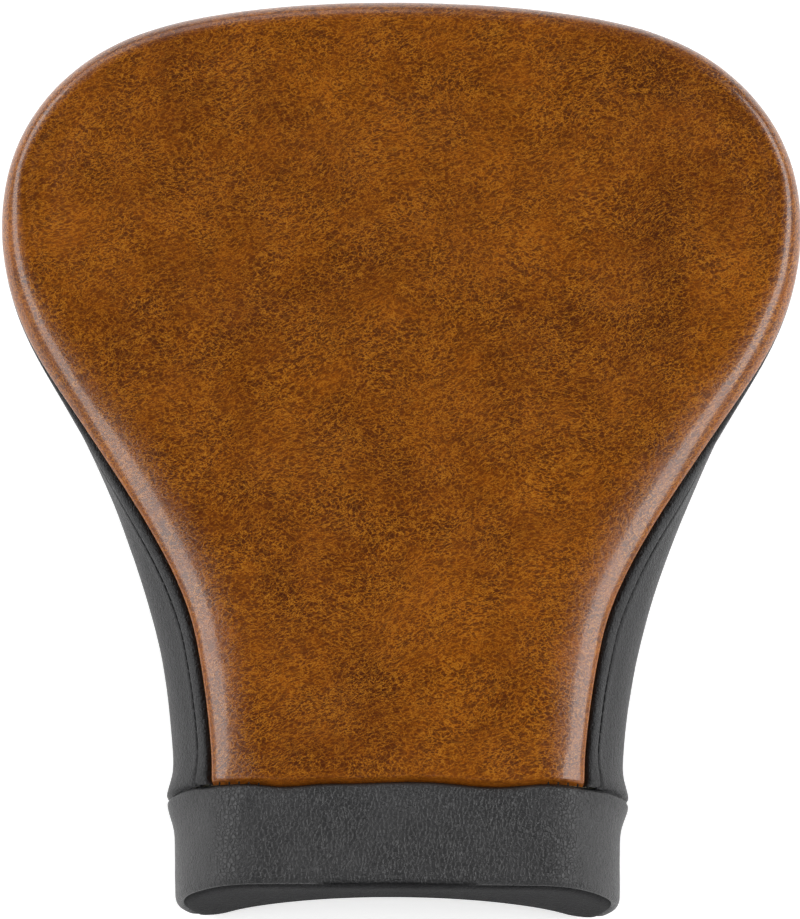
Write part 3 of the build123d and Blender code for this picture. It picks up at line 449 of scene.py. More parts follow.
def foam_block():
    """The moulded core: sunk below the cover, deeper under the comfort layer, and flat on the pan."""
    points, outs, up_side = seat_columns(FOAM_FRONT_Y, 60, 26)
    profiles = [profile(p, o) for p, o in zip(points, outs)]
    seams = seam_lengths(points, profiles)
    walls = []
    for p, o, (oz, along), seam in zip(points, outs, profiles, seams):
        lengths = np.linspace(1.0, along[-1], 22)
        pos, nor = at_length(oz, along, lengths)
        under_comfort = smoothstep(-2, 4, lengths - seam) * smoothstep(*COMFORT_FRONT, p[1])
        behind_wall = 1 - smoothstep(20, 24, pos[:, 1])
        depth = FOAM_DEPTH + under_comfort * UNDER_COMFORT + behind_wall * WALL_GAP
        depth += 2.6 * hump(lengths, seam, 6) + 3.2 * hump(p[1], NOSE_SEAM_Y, 7)
        wall = place(p, o, pos - nor * depth[:, None])
        wall[:, 2] = np.maximum(wall[:, 2], under_z(wall[:, 0]) + PAN_T)
        walls.append(wall)
    walls = np.array(walls)
    count, height = walls.shape[:2]
    top = fill_loop(walls[:, -1, :2], up_side)
    sink = FOAM_DEPTH + UNDER_COMFORT * smoothstep(*COMFORT_FRONT, top[..., 1])
    sink += 3.2 * hump(top[..., 1], NOSE_SEAM_Y, 7)
    top_z = seat_z(top[..., 0], top[..., 1]) - sink
    bottom = fill_loop(walls[:, 0, :2], up_side)
    bottom_z = under_z(bottom[..., 0]) + PAN_T
    grid = top.shape[0] * top.shape[1]
    v = np.concatenate([
        np.concatenate([top, top_z[..., None]], axis=-1).reshape(-1, 3),
        np.concatenate([bottom, bottom_z[..., None]], axis=-1).reshape(-1, 3),
        walls[:, 1:-1].reshape(-1, 3),
    ])
    f = grid_faces(*top.shape[:2]) + grid_faces(*top.shape[:2], start=grid, flip=True)

    def upward(j):
        edge = fill_index(j, count, up_side)
        return [grid + edge] + [2 * grid + j * (height - 2) + i for i in range(height - 2)] + [edge]

    for j in range(count - 1):
        a, b = upward(j), upward(j + 1)
        f += [(a[i], a[i + 1], b[i + 1], b[i]) for i in range(height - 1)]
    # The front is one flat face.
    width = top.shape[1]
    front = upward(0)[::-1] + [grid + i for i in range(1, width - 1)] + upward(count - 1)
    front += [i for i in range(width - 2, 0, -1)]
    f.append(tuple(front))
    return make_mesh("foam_block", v, f)


foam_body = foam_block()

# ---------------------------------------------------------------- vinyl sides
# Down from the side seam: the skin's distance, and how far it stands out over the seam allowance.
VINYL_STEPS = np.array([0.0, 0.45, 0.9, 1.6, 2.8, 4.4, 5.8, 6.8, 7.4, 7.8, 8.2, 8.8, 10.0, 12.0, 15.0])
RIDGE = np.array([-2.6, -0.6, 0.55, 1.15, 1.35, 1.25, 1.05, 0.75, 0.15, -0.1, 0.15, 0.45, 0.4, 0.15, 0.0])
HEM_STEPS = np.array([1.0, 2.2, 4.0, 7.0, 10.0, 13.0, HEM_W])
CUT_EDGE_T = 1.5
STITCH_AT = 7.8  # the topstitching runs this far below the seam
N_WALL = 26


def hem_points(point, outward, rim_o):
    """The hem: round the rim's corner and along the underside to its cut edge."""
    out = []
    for d in HEM_STEPS:
        x, y = point + outward * (rim_o - d)
        out.append((x, y, float(under_z(x))))
    x, y, z = out[-1]
    out.append((x, y, z + CUT_EDGE_T))
    return np.array(out)


def side_strip(chosen):
    """Rows of points down one side, from the seam to the cut edge of the hem."""
    rows = []
    for j in chosen:
        p, o, (oz, along), seam = POINTS[j], OUTS[j], PROFILES[j], SEAM_LENGTH[j]
        lengths = seam - VINYL_STEPS
        lower = np.linspace(lengths[-1], 1.2, N_WALL)[1:]
        lengths = np.concatenate([lengths, lower])
        pos, nor = at_length(oz, along, lengths)
        out = np.concatenate([RIDGE, np.zeros(len(lower))])
        out[-1] -= 0.3
        skin = place(p, o, pos + nor * out[:, None])
        rows.append(np.concatenate([skin, hem_points(p, o, oz[0, 0])]))
    return np.array(rows)


def finish_side(name, chosen, seed):
    """One side panel, with its slack, its swell at the nose seam and its tuck at the back seam."""
    rows = side_strip(chosen)
    rings, width = rows.shape[:2]
    v = rows.reshape(-1, 3)
    x, y, z = v.T
    ahead = y - NOSE_SEAM_Y
    v[:, 0] += nose_seam_swell(ahead) * np.sign(x) * smoothstep(7, 12, z) * (1 - smoothstep(58, 76, z))
    slack = fbm(x * 0.6, y, z, 60, 2, 5.0 + seed) * 0.8 + fbm(x, y, z, 22, 2, 1.0 + seed) * 0.18
    fade = smoothstep(6, 24, z) * (1 - smoothstep(-9, -1, z - seam_z(y)))
    v[:, 0] += slack * fade * np.sign(x) * np.clip(np.abs(x) / 120, 0, 1)
    # The two side panels meet in a seam down the middle of the back.
    v[:, 1] += puff(np.abs(x), 0.7, 4.0, 2.2) * (y > 120) * smoothstep(7, 12, z)
    # The edge value carries painted shade: the vinyl darkens in the groove at the seam and along the
    # topstitching.
    depth = steps_from_seam(VINYL_STEPS, width, rings)
    depth = np.minimum(depth, np.abs(depth - STITCH_AT))
    obj = make_mesh(name, v, grid_faces(rings, width, flip=True), edge=np.exp(-depth / 0.8))
    return subdivide(obj)


middle_column = columns // 2
vinyl_left = finish_side("vinyl_side_left", range(0, middle_column + 1), 0)
vinyl_right = finish_side("vinyl_side_right", range(middle_column, columns), 1)

# ---------------------------------------------------------------- vinyl nose
N_TOP, N_NOSE_SIDE = 96, 46
# Shares of the way from the nose seam to the front, closer at both ends.
NOSE_STEPS = np.concatenate([
    [0.0, 0.012, 0.03, 0.055, 0.09],
    np.linspace(0.14, 0.88, 18),
    [0.915, 0.945, 0.968, 0.985, 0.996, 1.0],
])
FRONT_EDGE_R, FRONT_EDGE_INSET = 4.0, 3.2  # how the nose rolls over into its end face
LAST_INSET, LAST_TURN_IN = 1.6, 2.2
MIRRORED = np.array([-1.0, 1.0, 1.0])


def nose_section(y, inset=0.0):
    """One run over the nose: right hem edge, up that side, over the top and down to the left hem edge."""
    index = int(np.argmin(np.abs(OUTLINE[UP_SIDE, 1] - y)))
    p, o = OUTLINE[index], OUTWARD[index]
    oz, along = profile(p, o)
    lengths = np.linspace(0.8, along[-1], N_NOSE_SIDE)
    pos, nor = at_length(oz, along, lengths)
    pos = pos - nor * inset
    side = np.stack([p[0] + o[0] * pos[:, 0], np.full(len(pos), y), pos[:, 1]], axis=1)
    hem = []
    for d in HEM_STEPS[::-1]:
        x = p[0] + oz[0, 0] - d - inset
        hem.append((x, y, float(under_z(x)) + inset * 0.2))
    hem.insert(0, (hem[0][0], y, hem[0][2] + CUT_EDGE_T))
    right_side = np.concatenate([np.array(hem), side])
    crest_x = side[-1, 0]
    xs = np.linspace(crest_x, -crest_x, N_TOP + 2)[1:-1]
    lift = oz[-1, 1] - seat_z(crest_x, np.array([y]))[0]
    zs = seat_z(xs, np.full(len(xs), y)) + lift * np.exp(-(((crest_x - np.abs(xs)) / CREST_FADE) ** 2))
    top = np.stack([xs, np.full(len(xs), y), zs - inset], axis=1)
    return np.concatenate([right_side, top, right_side[::-1] * MIRRORED])


nose_rows = []
for t in NOSE_STEPS:
    section_y = NOSE_SEAM_Y + t * (NOSE_Y - NOSE_SEAM_Y)
    front_y = NOSE_Y + NOSE_SLANT * (nose_section(section_y)[:, 2] - RIM_Z)
    y = NOSE_SEAM_Y + t * (front_y - NOSE_SEAM_Y)
    over_edge = np.clip(1 - (y - front_y) / FRONT_EDGE_R, 0, 1)
    inset = FRONT_EDGE_INSET * (1 - np.sqrt(np.clip(1 - over_edge**2, 0, 1)))
    is_last = t == NOSE_STEPS[-1]
    rolled = nose_section(section_y, float(inset.max()) + LAST_INSET * is_last)
    nose_rows.append(np.stack([rolled[:, 0], y + LAST_TURN_IN * is_last, rolled[:, 2]], axis=1))
nose_rows = np.array(nose_rows)
rings, width = nose_rows.shape[:2]
v = nose_rows.reshape(-1, 3)
x, y, z = v.T
from_seam = NOSE_SEAM_Y - y
top_share = smoothstep(58, 74, z)
v[:, 1] += nose_seam_shift(x) * np.exp(-from_seam / 10.0) * top_share
dips = hump(x, DIP_LEFT_X, 15) + 1.1 * hump(x, DIP_RIGHT_X, 22)
sag = 0.9 * dips * np.exp(-from_seam / 7.0) * (1 - np.exp(-from_seam / 2.0))
v[:, 2] += (puff(from_seam, 1.1, 6.0, SEAM_TUCK) - sag) * top_share
v[:, 0] += nose_seam_swell(from_seam) * (1 - top_share) * np.sign(x) * smoothstep(7, 12, z)
pull_lines = 0.4 * np.sin(x / 3.9 + np.sin(x / 13.0)) * np.exp(-from_seam / 8.0)
v[:, 2] += pull_lines * top_share * (from_seam > 1.5)
slack = fbm(x, y, z, 42, 2, 7.7) * 0.8 + fbm(x, y, z, 15, 2, 4.4) * 0.16
v[:, 2] += slack * top_share * smoothstep(0, 10, from_seam) * smoothstep(0, 8, y - NOSE_Y)
v[:, 0] += slack * (1 - top_share) * np.sign(x) * smoothstep(7, 20, z) * smoothstep(0, 10, from_seam)
# Painted shade: the vinyl darkens towards the nose seam, under the leather's overhang.
nose_seam_shade = np.exp(-np.minimum(from_seam, 50) / 2.0)
vinyl_nose = subdivide(make_mesh("vinyl_nose", v, grid_faces(rings, width, flip=True), edge=nose_seam_shade))

# End panel: a flat-sewn face inside the nose's rolled edge, turned under at the bottom.
hem_count = len(HEM_STEPS) + 1
crest_index = hem_count + N_NOSE_SIDE - 1
edge_loop = nose_section(NOSE_Y, 3.0)
right_side = edge_loop[hem_count : crest_index + 1]
top_run = edge_loop[crest_index : crest_index + N_TOP + 2]
left_side = right_side * MIRRORED
bottom_x = np.linspace(right_side[0, 0], left_side[0, 0], len(top_run))
bottom_run = np.stack([bottom_x, np.full(len(bottom_x), NOSE_Y), under_z(bottom_x)], axis=1)
bottom_run[0], bottom_run[-1] = right_side[0], left_side[0]
u = np.linspace(0, 1, len(top_run))[:, None]
levels = np.concatenate([[0, 0.012, 0.03], np.linspace(0.06, 0.94, len(right_side) - 6), [0.97, 0.988, 1.0]])
even = np.linspace(0, 1, len(right_side))
right_fit = np.stack([np.interp(levels, even, right_side[:, k]) for k in range(3)], axis=1)
left_fit = right_fit * MIRRORED
face_rows = []
for i, t in enumerate(levels):
    across = (1 - u) * right_fit[i] + u * left_fit[i]
    upward = (1 - t) * bottom_run + t * top_run
    right_corners, left_corners = ((1 - t) * fit[0] + t * fit[-1] for fit in (right_fit, left_fit))
    face_rows.append(across + upward - ((1 - u) * right_corners + u * left_corners))
face_rows = np.array(face_rows)
loop_points = np.concatenate([right_side, top_run, left_side])[:, [0, 2]]
fx, fz = face_rows[..., 0], face_rows[..., 2]
gap = np.min(np.hypot(fx[..., None] - loop_points[:, 0], fz[..., None] - loop_points[:, 1]), axis=-1)
face_y = NOSE_Y + NOSE_SLANT * (fz - RIM_Z) + 1.3 - puff(gap, 1.3, 5.0, 0.0)
face_rows[..., 1] = face_y - 0.5 * (1 - np.exp(-gap / 12)) + 2.4 * np.exp(-gap / 0.9)
under = []
for d, lift in ((HEM_W, CUT_EDGE_T), *((d, -0.02) for d in (HEM_W, 12.0, 8.0, 4.0, 2.0, 0.8))):
    x, y, _ = face_rows[0].T
    under.append(np.stack([x, y + d, under_z(x) + lift], axis=1))
face_rows[0, :, 2] += 0.6
end_rows = np.concatenate([np.array(under), face_rows])
end_points = end_rows.reshape(-1, 3)
end_faces = grid_faces(*end_rows.shape[:2])
vinyl_end = subdivide(make_mesh("vinyl_nose_end", end_points, end_faces, edge=np.zeros(len(end_points))))


# ---------------------------------------------------------------- stitching
def bead(radius, length, sides=6):
    """A short thread stitch lying along +X, thinner at both ends."""
    stations = [(-0.5, 0.35), (-0.36, 0.9), (0.0, 1.0), (0.36, 0.9), (0.5, 0.35)]
    pts = []
    for f, r in stations:
        for k in range(sides):
            a = 2 * math.pi * k / sides
            pts.append((f * length, radius * r * math.cos(a), radius * r * math.sin(a)))
    fcs = []
    for i in range(len(stations) - 1):
        for k in range(sides):
            a, b = i * sides + k, i * sides + (k + 1) % sides
            fcs.append((a, b, b + sides, a + sides))
    fcs.append(tuple(range(sides))[::-1])
    fcs.append(tuple(range((len(stations) - 1) * sides, len(stations) * sides)))
    return np.array(pts), fcs


STITCH_PITCH, STITCH_LENGTH, STITCH_R = 5.0, 4.2, 0.48
TOOTH_PITCH, TOOTH_LENGTH, TOOTH_R = 4.6, 1.6, 0.42


def stitches(name, path, normals):
    """A row of stitches along a path, each lying on the surface."""
    path, normals = np.asarray(path), np.asarray(normals)
    run = np.concatenate([[0], np.cumsum(np.linalg.norm(np.diff(path, axis=0), axis=1))])
    base, base_faces = bead(STITCH_R, STITCH_LENGTH)
    all_v, all_f = [], []

    def at(s, values):
        return np.array([np.interp(s, run, values[:, k]) for k in range(3)])

    for s in np.arange(STITCH_PITCH * 0.6, run[-1] - STITCH_PITCH * 0.5, STITCH_PITCH):
        n = at(s, normals)
        step = at(s + 1.5, path) - at(s - 1.5, path)
        tangent = step / np.linalg.norm(step)
        n = n - tangent * n.dot(tangent)
        n /= np.linalg.norm(n)
        side = np.cross(n, tangent)
        rot = np.stack([tangent, side, n], axis=1)
        all_f += [tuple(i + len(all_v) * len(base) for i in f) for f in base_faces]
        all_v.append(base @ rot.T + at(s, path))
    return make_mesh(name, np.concatenate(all_v), all_f)


def side_stitch_path(chosen):
    path, normals = [], []
    for j in chosen:
        p, o, (oz, along), seam = POINTS[j], OUTS[j], PROFILES[j], SEAM_LENGTH[j]
        pos, nor = at_length(oz, along, np.array([seam - STITCH_AT]))
        path.append(place(p, o, pos + nor * 0.16)[0])
        normals.append((o[0] * nor[0, 0], o[1] * nor[0, 0], nor[0, 1]))
    return path, normals


topstitch_left = stitches("topstitch_left", *side_stitch_path(range(2, middle_column - 1)))
topstitch_right = stitches("topstitch_right", *side_stitch_path(range(columns - 3, middle_column + 1, -1)))

# Seam stitches show at both ends of the nose seam, where the leather is pulled flat.
TEETH_RUNS = ((-97, -62), (70, 96))
CORNER_X, CORNER_W, CORNER_DROP = 68, 27, 19  # how the seam falls away over the nose's corners
tooth_v, tooth_f = bead(TOOTH_R, TOOTH_LENGTH)
across_seam = np.array([[0.0, 1.0, 0.0], [1.0, 0.0, 0.0], [0.0, 0.0, -1.0]])
teeth_v, teeth_f = [], []
for x in np.concatenate([np.arange(*run, TOOTH_PITCH) for run in TEETH_RUNS]):
    over_corner = max((abs(x) - CORNER_X) / CORNER_W, 0)
    z = float(seat_z(x, np.array([NOSE_SEAM_Y]))[0])
    z -= CORNER_DROP * (1 - math.sqrt(max(1 - over_corner**2, 0)))
    centre = np.array([x, NOSE_SEAM_Y + float(nose_seam_shift(x)) - 0.3, z - 0.7])
    teeth_f += [tuple(i + len(teeth_v) * len(tooth_v) for i in f) for f in tooth_f]
    teeth_v.append(tooth_v @ across_seam.T + centre)
nose_teeth = make_mesh("nose_seam_stitches", np.concatenate(teeth_v), teeth_f)

# ---------------------------------------------------------------- materials, with lengths in metres
LEATHER_DARK, LEATHER_LIGHT = (0.130, 0.0260, 0.0002), (0.350, 0.088, 0.0002)
LEATHER_SHADE, LEATHER_PIT = (0.066, 0.0120, 0.0002), (0.034, 0.0055, 0.0002)
LEATHER_RIDGE, LEATHER_EDGE = (0.440, 0.170, 0.014), (0.400, 0.110, 0.007)
CRINKLE_TURN = 0.38  # the wrinkles run slantwise, by this angle in plan


class Shader:
    """Small helpers to build a node tree."""

    def __init__(self, name):
        self.mat = bpy.data.materials.new(name)
        self.mat.use_nodes = True
        self.tree = self.mat.node_tree
        self.tree.nodes.clear()
        out = self.node("ShaderNodeOutputMaterial")
        self.bsdf = self.node("ShaderNodeBsdfPrincipled")
        self.tree.links.new(self.bsdf.outputs["BSDF"], out.inputs["Surface"])
        self.coords = self.node("ShaderNodeTexCoord").outputs["Object"]

    def node(self, kind, **settings):
        node = self.tree.nodes.new(kind)
        for key, value in settings.items():
            setattr(node, key, value)
        return node

    def link(self, value, socket):
        if isinstance(value, bpy.types.NodeSocket):
            self.tree.links.new(value, socket)
        else:
            socket.default_value = value

    def noise(self, scale, detail=4.0, rough=0.55, distortion=0.0, vector=None):
        node = self.node("ShaderNodeTexNoise")
        self.link(vector or self.coords, node.inputs["Vector"])
        values = {"Scale": scale, "Detail": detail, "Roughness": rough, "Distortion": distortion}
        for key, value in values.items():
            node.inputs[key].default_value = value
        return node.outputs["Fac"]

    def voronoi(self, scale, feature="DISTANCE_TO_EDGE", vector=None):
        node = self.node("ShaderNodeTexVoronoi", feature=feature)
        self.link(vector or self.coords, node.inputs["Vector"])
        node.inputs["Scale"].default_value = scale
        return node.outputs["Distance"]

    def stretched(self, vector, turn, stretch):
        """Coordinates along which a pattern is longer by stretch, turned in plan."""
        node = self.node("ShaderNodeMapping", vector_type="TEXTURE")
        self.link(vector, node.inputs["Vector"])
        node.inputs["Rotation"].default_value = (0, 0, turn)
        node.inputs["Scale"].default_value = stretch
        return node.outputs["Vector"]

    def warped(self, amount, scale, start=None):
        """Coordinates pushed about by noise."""
        node = self.node("ShaderNodeTexNoise")
        start = start or self.coords
        self.link(start, node.inputs["Vector"])
        node.inputs["Scale"].default_value = scale
        centred = self.node("ShaderNodeVectorMath", operation="SUBTRACT")
        self.link(node.outputs["Color"], centred.inputs[0])
        centred.inputs[1].default_value = (0.5, 0.5, 0.5)
        scaled = self.node("ShaderNodeVectorMath", operation="SCALE")
        self.link(centred.outputs[0], scaled.inputs[0])
        scaled.inputs["Scale"].default_value = amount
        moved = self.node("ShaderNodeVectorMath", operation="ADD")
        self.link(start, moved.inputs[0])
        self.link(scaled.outputs[0], moved.inputs[1])
        return moved.outputs[0]

    def remap(self, value, low, high, to_low=0.0, to_high=1.0):
        node = self.node("ShaderNodeMapRange")
        self.link(value, node.inputs["Value"])
        for key, number in (("From Min", low), ("From Max", high), ("To Min", to_low), ("To Max", to_high)):
            self.link(number, node.inputs[key])
        return node.outputs["Result"]

    def math(self, operation, a, b=0.0):
        node = self.node("ShaderNodeMath", operation=operation)
        self.link(a, node.inputs[0])
        self.link(b, node.inputs[1])
        return node.outputs[0]

    def link_color(self, value, socket):
        self.link((*value, 1.0) if isinstance(value, tuple) and len(value) == 3 else value, socket)

    def mix(self, share, a, b):
        """Colour a, or b where share is 1. The node's colour inputs are its seventh and eighth."""
        node = self.node("ShaderNodeMix", data_type="RGBA")
        self.link(share, node.inputs[0])
        self.link_color(a, node.inputs[6])
        self.link_color(b, node.inputs[7])
        return node.outputs[2]

    def bump(self, *layers):
        """Bump from (height, strength, distance in m) layers, chained."""
        normal = None
        for height, strength, distance in layers:
            node = self.node("ShaderNodeBump")
            node.inputs["Strength"].default_value = strength
            node.inputs["Distance"].default_value = distance
            self.link(height, node.inputs["Height"])
            if normal is not None:
                self.link(normal, node.inputs["Normal"])
            normal = node.outputs["Normal"]
        self.link(normal, self.bsdf.inputs["Normal"])

    def attribute(self, name):
        node = self.node("ShaderNodeAttribute", attribute_name=name)
        return node.outputs["Fac"]

    def set(self, **inputs):
        for key, value in inputs.items():
            self.link_color(value, self.bsdf.inputs[key.replace("_", " ")])


def scaled(color, factor):
    return tuple(c * factor for c in color)


def leather_material():
    """Waxed pull-up hide: cloudy browns, fine wrinkles with pale ridges and dark pits, and worn edges."""
    s = Shader("waxed_leather")
    clouds = s.noise(11.0, 5.0, 0.6, 0.6)
    patches = s.noise(34.0, 4.0, 0.6, 0.3)
    mottle = s.noise(170.0, 3.0, 0.6)
    tone = s.math("ADD", s.math("MULTIPLY", clouds, 0.62), s.math("MULTIPLY", patches, 0.38))
    base = s.mix(s.remap(tone, 0.36, 0.66), LEATHER_DARK, LEATHER_LIGHT)
    base = s.mix(s.remap(mottle, 0.35, 0.7, 0.0, 0.35), base, LEATHER_SHADE)
    drift = s.warped(0.022, 14.0)
    flow = s.stretched(s.warped(0.0012, 330.0, start=drift), CRINKLE_TURN, (1.6, 1.0, 1.0))
    fine_flow = s.stretched(drift, CRINKLE_TURN, (2.6, 1.0, 1.0))
    cross_flow = s.stretched(drift, CRINKLE_TURN - 1.0, (2.2, 1.0, 1.0))
    cells = s.voronoi(640.0, vector=flow)
    wrinkle = s.noise(600.0, 2.0, 0.6, 0.5, vector=fine_flow)
    cross_wrinkle = s.noise(520.0, 2.0, 0.6, 0.5, vector=cross_flow)
    presence = s.remap(s.noise(48.0, 3.0, 0.6), 0.34, 0.60, 0.6, 1.0)
    relief = s.math("ADD", s.math("MULTIPLY", wrinkle, 0.62), s.math("MULTIPLY", cross_wrinkle, 0.38))
    from_ridge = s.math("ABSOLUTE", s.math("SUBTRACT", relief, 0.51))
    pits = s.math("MULTIPLY", s.remap(from_ridge, 0.022, 0.070), presence)
    base = s.mix(s.math("MULTIPLY", pits, 0.68), base, LEATHER_PIT)
    base = s.mix(s.math("MULTIPLY", s.remap(cells, 0.25, 0.55), 0.25), base, LEATHER_PIT)
    ridges = s.remap(from_ridge, 0.004, 0.022, 0.95, 0.0)
    glow = s.math("ADD", ridges, s.remap(cells, 0.01, 0.09, 0.40, 0.0))
    base = s.mix(s.math("MULTIPLY", s.math("MULTIPLY", glow, presence), 0.85), base, LEATHER_RIDGE)
    edge = s.math("MULTIPLY", s.attribute("edge"), s.remap(s.noise(240.0, 3.0), 0.35, 0.65, 0.35, 1.0))
    base = s.mix(s.math("MULTIPLY", edge, 0.75), base, LEATHER_EDGE)
    rough = s.math("ADD", s.remap(patches, 0.3, 0.7, 0.30, 0.38), s.math("MULTIPLY", pits, 0.06))
    s.set(Base_Color=base, Roughness=rough, IOR=1.38, Coat_Weight=0.45, Coat_Roughness=0.15)
    cell_relief = s.remap(cells, 0.0, 0.30, 1.0, 0.0)
    ridge_relief = s.remap(from_ridge, 0.0, 0.10, 1.0, 0.0)
    s.bump((cell_relief, 0.10, 0.0004), (ridge_relief, 0.16, 0.0005), (mottle, 0.05, 0.0012))
    return s.mat


def vinyl_material(name="pebbled_vinyl", tint=(0.034, 0.034, 0.035), gloss=0.38, rough=0.42):
    """Marine vinyl: pebbled grain, faint stretch wrinkles from front to back, dust in the grain, and painted
    shade in its seam grooves and along the topstitching.
    """
    s = Shader(name)
    warped = s.warped(0.0012, 500.0)
    pebbles = s.voronoi(640.0, "SMOOTH_F1", warped)
    creases = s.voronoi(520.0, vector=warped)
    blotch = s.noise(40.0, 3.0)
    lengthwise = s.stretched(s.warped(0.004, 60.0), 0.0, (1.0, 3.2, 1.0))
    stretch = s.noise(420.0, 3.0, 0.6, 0.5, vector=lengthwise)
    dust = s.remap(s.noise(1500.0, 1.0), 0.74, 0.80, 0.0, 0.15)
    base = s.mix(s.remap(blotch, 0.3, 0.7), scaled(tint, 0.80), scaled(tint, 1.15))
    base = s.mix(s.remap(creases, 0.0, 0.10, 0.45, 0.0), base, scaled(tint, 0.45))
    base = s.mix(s.remap(stretch, 0.55, 0.72, 0.0, 0.35), base, scaled(tint, 1.7))
    base = s.mix(dust, base, (0.22, 0.22, 0.22))
    # Painted shade: the vinyl turns darker where the edge value is high, in the groove at the seam and along
    # the topstitching.
    base = s.mix(s.math("MULTIPLY", s.attribute("edge"), 0.6), base, scaled(tint, 0.35))
    roughness = s.remap(blotch, 0.3, 0.7, rough - 0.04, rough + 0.05)
    s.set(Base_Color=base, Roughness=roughness, Specular_IOR_Level=gloss)
    s.bump((pebbles, 0.45, 0.0008), (s.remap(creases, 0.0, 0.16), 0.50, 0.0006), (stretch, 0.40, 0.0010))
    return s.mat


def thread_material():
    s = Shader("black_thread")
    twist = s.node("ShaderNodeTexWave", bands_direction="DIAGONAL")
    s.link(s.coords, twist.inputs["Vector"])
    twist.inputs["Scale"].default_value = 700.0
    base = s.mix(twist.outputs["Fac"], (0.003, 0.003, 0.003), (0.010, 0.010, 0.011))
    s.set(Base_Color=base, Roughness=0.7, Specular_IOR_Level=0.15)
    s.bump((twist.outputs["Fac"], 0.4, 0.0002))
    return s.mat


def metal_material(name, color, rough, brushed=0.0, dark=0.5):
    s = Shader(name)
    smudge = s.noise(90.0, 4.0)
    fine = s.noise(1200.0, 3.0)
    s.set(Base_Color=s.mix(s.remap(smudge, 0.35, 0.7, 0.0, 0.5), color, scaled(color, dark)), Metallic=1.0)
    s.set(Roughness=s.remap(fine, 0.3, 0.7, rough * 0.8, rough * 1.3))
    s.bump((fine, 0.05 + brushed, 0.0002))
    return s.mat


def coated_material(name, color, rough, grain_scale, grain, flecks=None):
    s = Shader(name)
    fine = s.noise(grain_scale, 3.0)
    broad = s.noise(30.0, 3.0)
    base = s.mix(s.remap(broad, 0.3, 0.7), scaled(color, 0.8), scaled(color, 1.25))
    if flecks:
        base = s.mix(s.remap(s.noise(grain_scale * 0.6, 2.0), 0.62, 0.72, 0.0, 0.35), base, flecks)
    s.set(Base_Color=base, Roughness=s.remap(fine, 0.3, 0.7, rough * 0.85, min(rough * 1.15, 1.0)))
    s.bump((fine, grain, 0.0004))
    return s.mat


def foam_material(name, color):
    s = Shader(name)
    cells = s.voronoi(900.0, "F1")
    broad = s.noise(22.0, 3.0)
    base = s.mix(s.remap(broad, 0.3, 0.7), scaled(color, 0.85), color)
    s.set(Base_Color=s.mix(s.remap(cells, 0.2, 0.7, 0.0, 0.4), base, scaled(color, 0.6)), Roughness=0.95)
    s.bump((cells, 0.5, 0.0005))
    return s.mat


leather, vinyl = leather_material(), vinyl_material()
# The side panels and the end face are the nose's vinyl given darker tints: painted shade for faces that turn
# away from the lights, darkest on the end face.
vinyl_side_painted_shade = vinyl_material("pebbled_vinyl_side_painted_shade", (0.030, 0.030, 0.031), 0.2)
vinyl_end_painted_shade = vinyl_material("pebbled_vinyl_end_painted_shade", (0.024, 0.024, 0.025), 0.06, 0.7)
thread = thread_material()
zinc = metal_material("zinc_plate", (0.66, 0.67, 0.66), 0.32)
chrome = metal_material("polished_chrome", (0.84, 0.85, 0.86), 0.10, dark=0.85)
galvanised = metal_material("galvanised_wire", (0.70, 0.71, 0.72), 0.38, 0.1)
powder = coated_material("powder_coat", (0.018, 0.018, 0.020), 0.42, 1800.0, 0.35)
oxide = coated_material("black_oxide", (0.022, 0.022, 0.024), 0.35, 900.0, 0.1)
pan_plastic = coated_material("moulded_pan", (0.020, 0.020, 0.022), 0.55, 1100.0, 0.3, (0.05, 0.05, 0.052))
rubber = coated_material("pad_rubber", (0.022, 0.022, 0.022), 0.72, 1400.0, 0.25)
nylon = coated_material("natural_nylon", (0.78, 0.76, 0.70), 0.45, 800.0, 0.05)
foam = foam_material("moulded_foam", (0.78, 0.72, 0.52))
soft_foam = foam_material("comfort_foam", (0.86, 0.82, 0.66))
gel = coated_material("gel", (0.10, 0.28, 0.50), 0.18, 400.0, 0.05)

NODE_MATERIALS = {
    "base_pan": pan_plastic, "foam_core": foam, "comfort_layer": soft_foam, "gel_pad": gel,
    "front_bracket": powder, "rear_tab": powder, "rear_tab_bolts": oxide, "rear_nut_plate": zinc,
    "rear_tab_nuts": zinc, "front_bracket_rivets": zinc, "front_rivet_washers": zinc,
    "rail_pads": rubber, "rail_pad_rivets": zinc, "rail_rivet_washers": zinc,
    "tunnel_pads": rubber, "tunnel_pad_rivets": zinc, "tunnel_rivet_washers": zinc,
    "screw_bush": nylon, "screw_washer": rubber, "fender_screw": chrome, "cover_staples": galvanised,
}
for node, mat in NODE_MATERIALS.items():
    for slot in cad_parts[node].material_slots:
        slot.material = mat

for obj, mat, slot, *nodes in (
    (leather_top, leather, "leather_brown", "top_panel"),
    (vinyl_left, vinyl_side_painted_shade, "vinyl_grey", "side_panel_left"),
    (vinyl_right, vinyl_side_painted_shade, "vinyl_grey", "side_panel_right"),
    (vinyl_nose, vinyl, "vinyl_grey", "nose_panel"),
    (vinyl_end, vinyl_end_painted_shade, "vinyl_grey", "nose_end_panel"),
    (comfort_foam, soft_foam, "soft_foam", "comfort_layer"),
    (foam_body, foam, "foam", "foam_core"),
    (topstitch_left, thread, "vinyl_grey"),
    (topstitch_right, thread, "vinyl_grey"),
    (nose_teeth, thread, "vinyl_grey"),
):
    obj.data.materials.clear()
    obj.data.materials.append(mat)
    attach(obj, "seat")
    if nodes:
        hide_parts(*nodes)


# ---------------------------------------------------------------- floor, lights and camera
def aimed(place_at, aim):
    """Rotation that points a light or camera from one place at another."""
    return (Vector(aim) - Vector(place_at)).to_track_quat("-Z", "Y").to_euler()


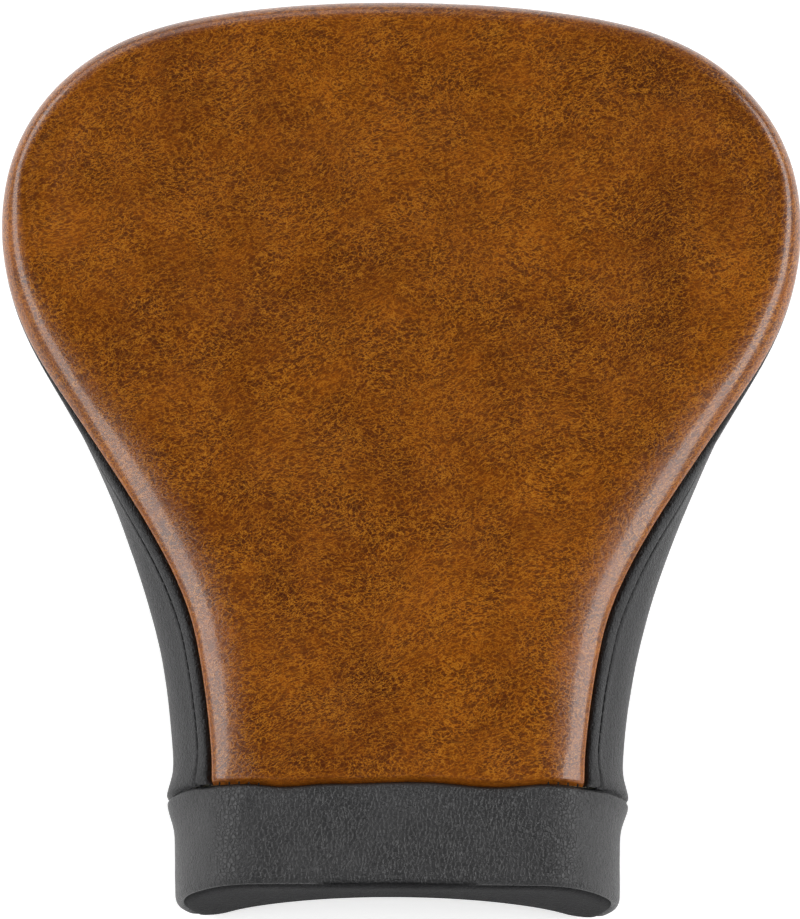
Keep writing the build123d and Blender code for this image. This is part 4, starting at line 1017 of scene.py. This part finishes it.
def area_light(name, place_at, aim, size_x, size_y, power, color=(1.0, 1.0, 1.0)):
    data = bpy.data.lights.new(name, "AREA")
    data.shape = "RECTANGLE"
    data.size, data.size_y, data.energy, data.color = size_x, size_y, power, color
    obj = bpy.data.objects.new(name, data)
    obj.location = place_at
    obj.rotation_euler = aimed(place_at, aim)
    bpy.context.scene.collection.objects.link(obj)


FLOOR = 6.0  # half the floor's side
floor_corners = [(-FLOOR, -FLOOR, 0), (FLOOR, -FLOOR, 0), (FLOOR, FLOOR, 0), (-FLOOR, FLOOR, 0)]
floor_mesh = bpy.data.meshes.new("floor")
floor_mesh.from_pydata(floor_corners, [], [(0, 1, 2, 3)])
floor = bpy.data.objects.new("floor", floor_mesh)
bpy.context.scene.collection.objects.link(floor)
paper = Shader("white_paper")
paper.set(Base_Color=(0.93, 0.93, 0.93), Roughness=0.9)
paper.set(Emission_Color=(1.0, 1.0, 1.0), Emission_Strength=0.45)
floor_mesh.materials.append(paper.mat)

world = bpy.data.worlds.new("studio")
world.use_nodes = True
background = world.node_tree.nodes["Background"]
background.inputs["Color"].default_value = (1.0, 1.0, 1.0, 1.0)
background.inputs["Strength"].default_value = 0.03
bpy.context.scene.world = world
area_light("strip_left", (-1.18, -0.05, 0.76), (0, -0.05, 0.05), 2.4, 0.5, 23)
area_light("strip_right", (1.18, -0.10, 0.76), (0, -0.10, 0.05), 2.4, 0.5, 26)
area_light("back_bank", (-0.7, 1.6, 0.75), (0, 0.1, 0.1), 1.6, 0.7, 8, (1.0, 0.95, 0.97))
area_light("front_soft", (-0.55, -1.25, 1.75), (0, 0, 0), 1.0, 0.6, 0.8)

CAMERA_AT, CAMERA_AIM, CAMERA_ROLL = (0, -0.5422, 1.8964), (0, -0.0185, 0.070), 0.35
camera_data = bpy.data.cameras.new("camera")
camera_data.lens = 155.56
camera_data.sensor_width = 36.0
camera_data.clip_end = 20
camera = bpy.data.objects.new("camera", camera_data)
camera.location = CAMERA_AT
camera.rotation_euler = aimed(CAMERA_AT, CAMERA_AIM)
camera.rotation_euler.rotate_axis("Z", math.radians(CAMERA_ROLL))
bpy.context.scene.collection.objects.link(camera)
bpy.context.scene.camera = camera
bpy.context.scene.view_settings.view_transform = "Standard"
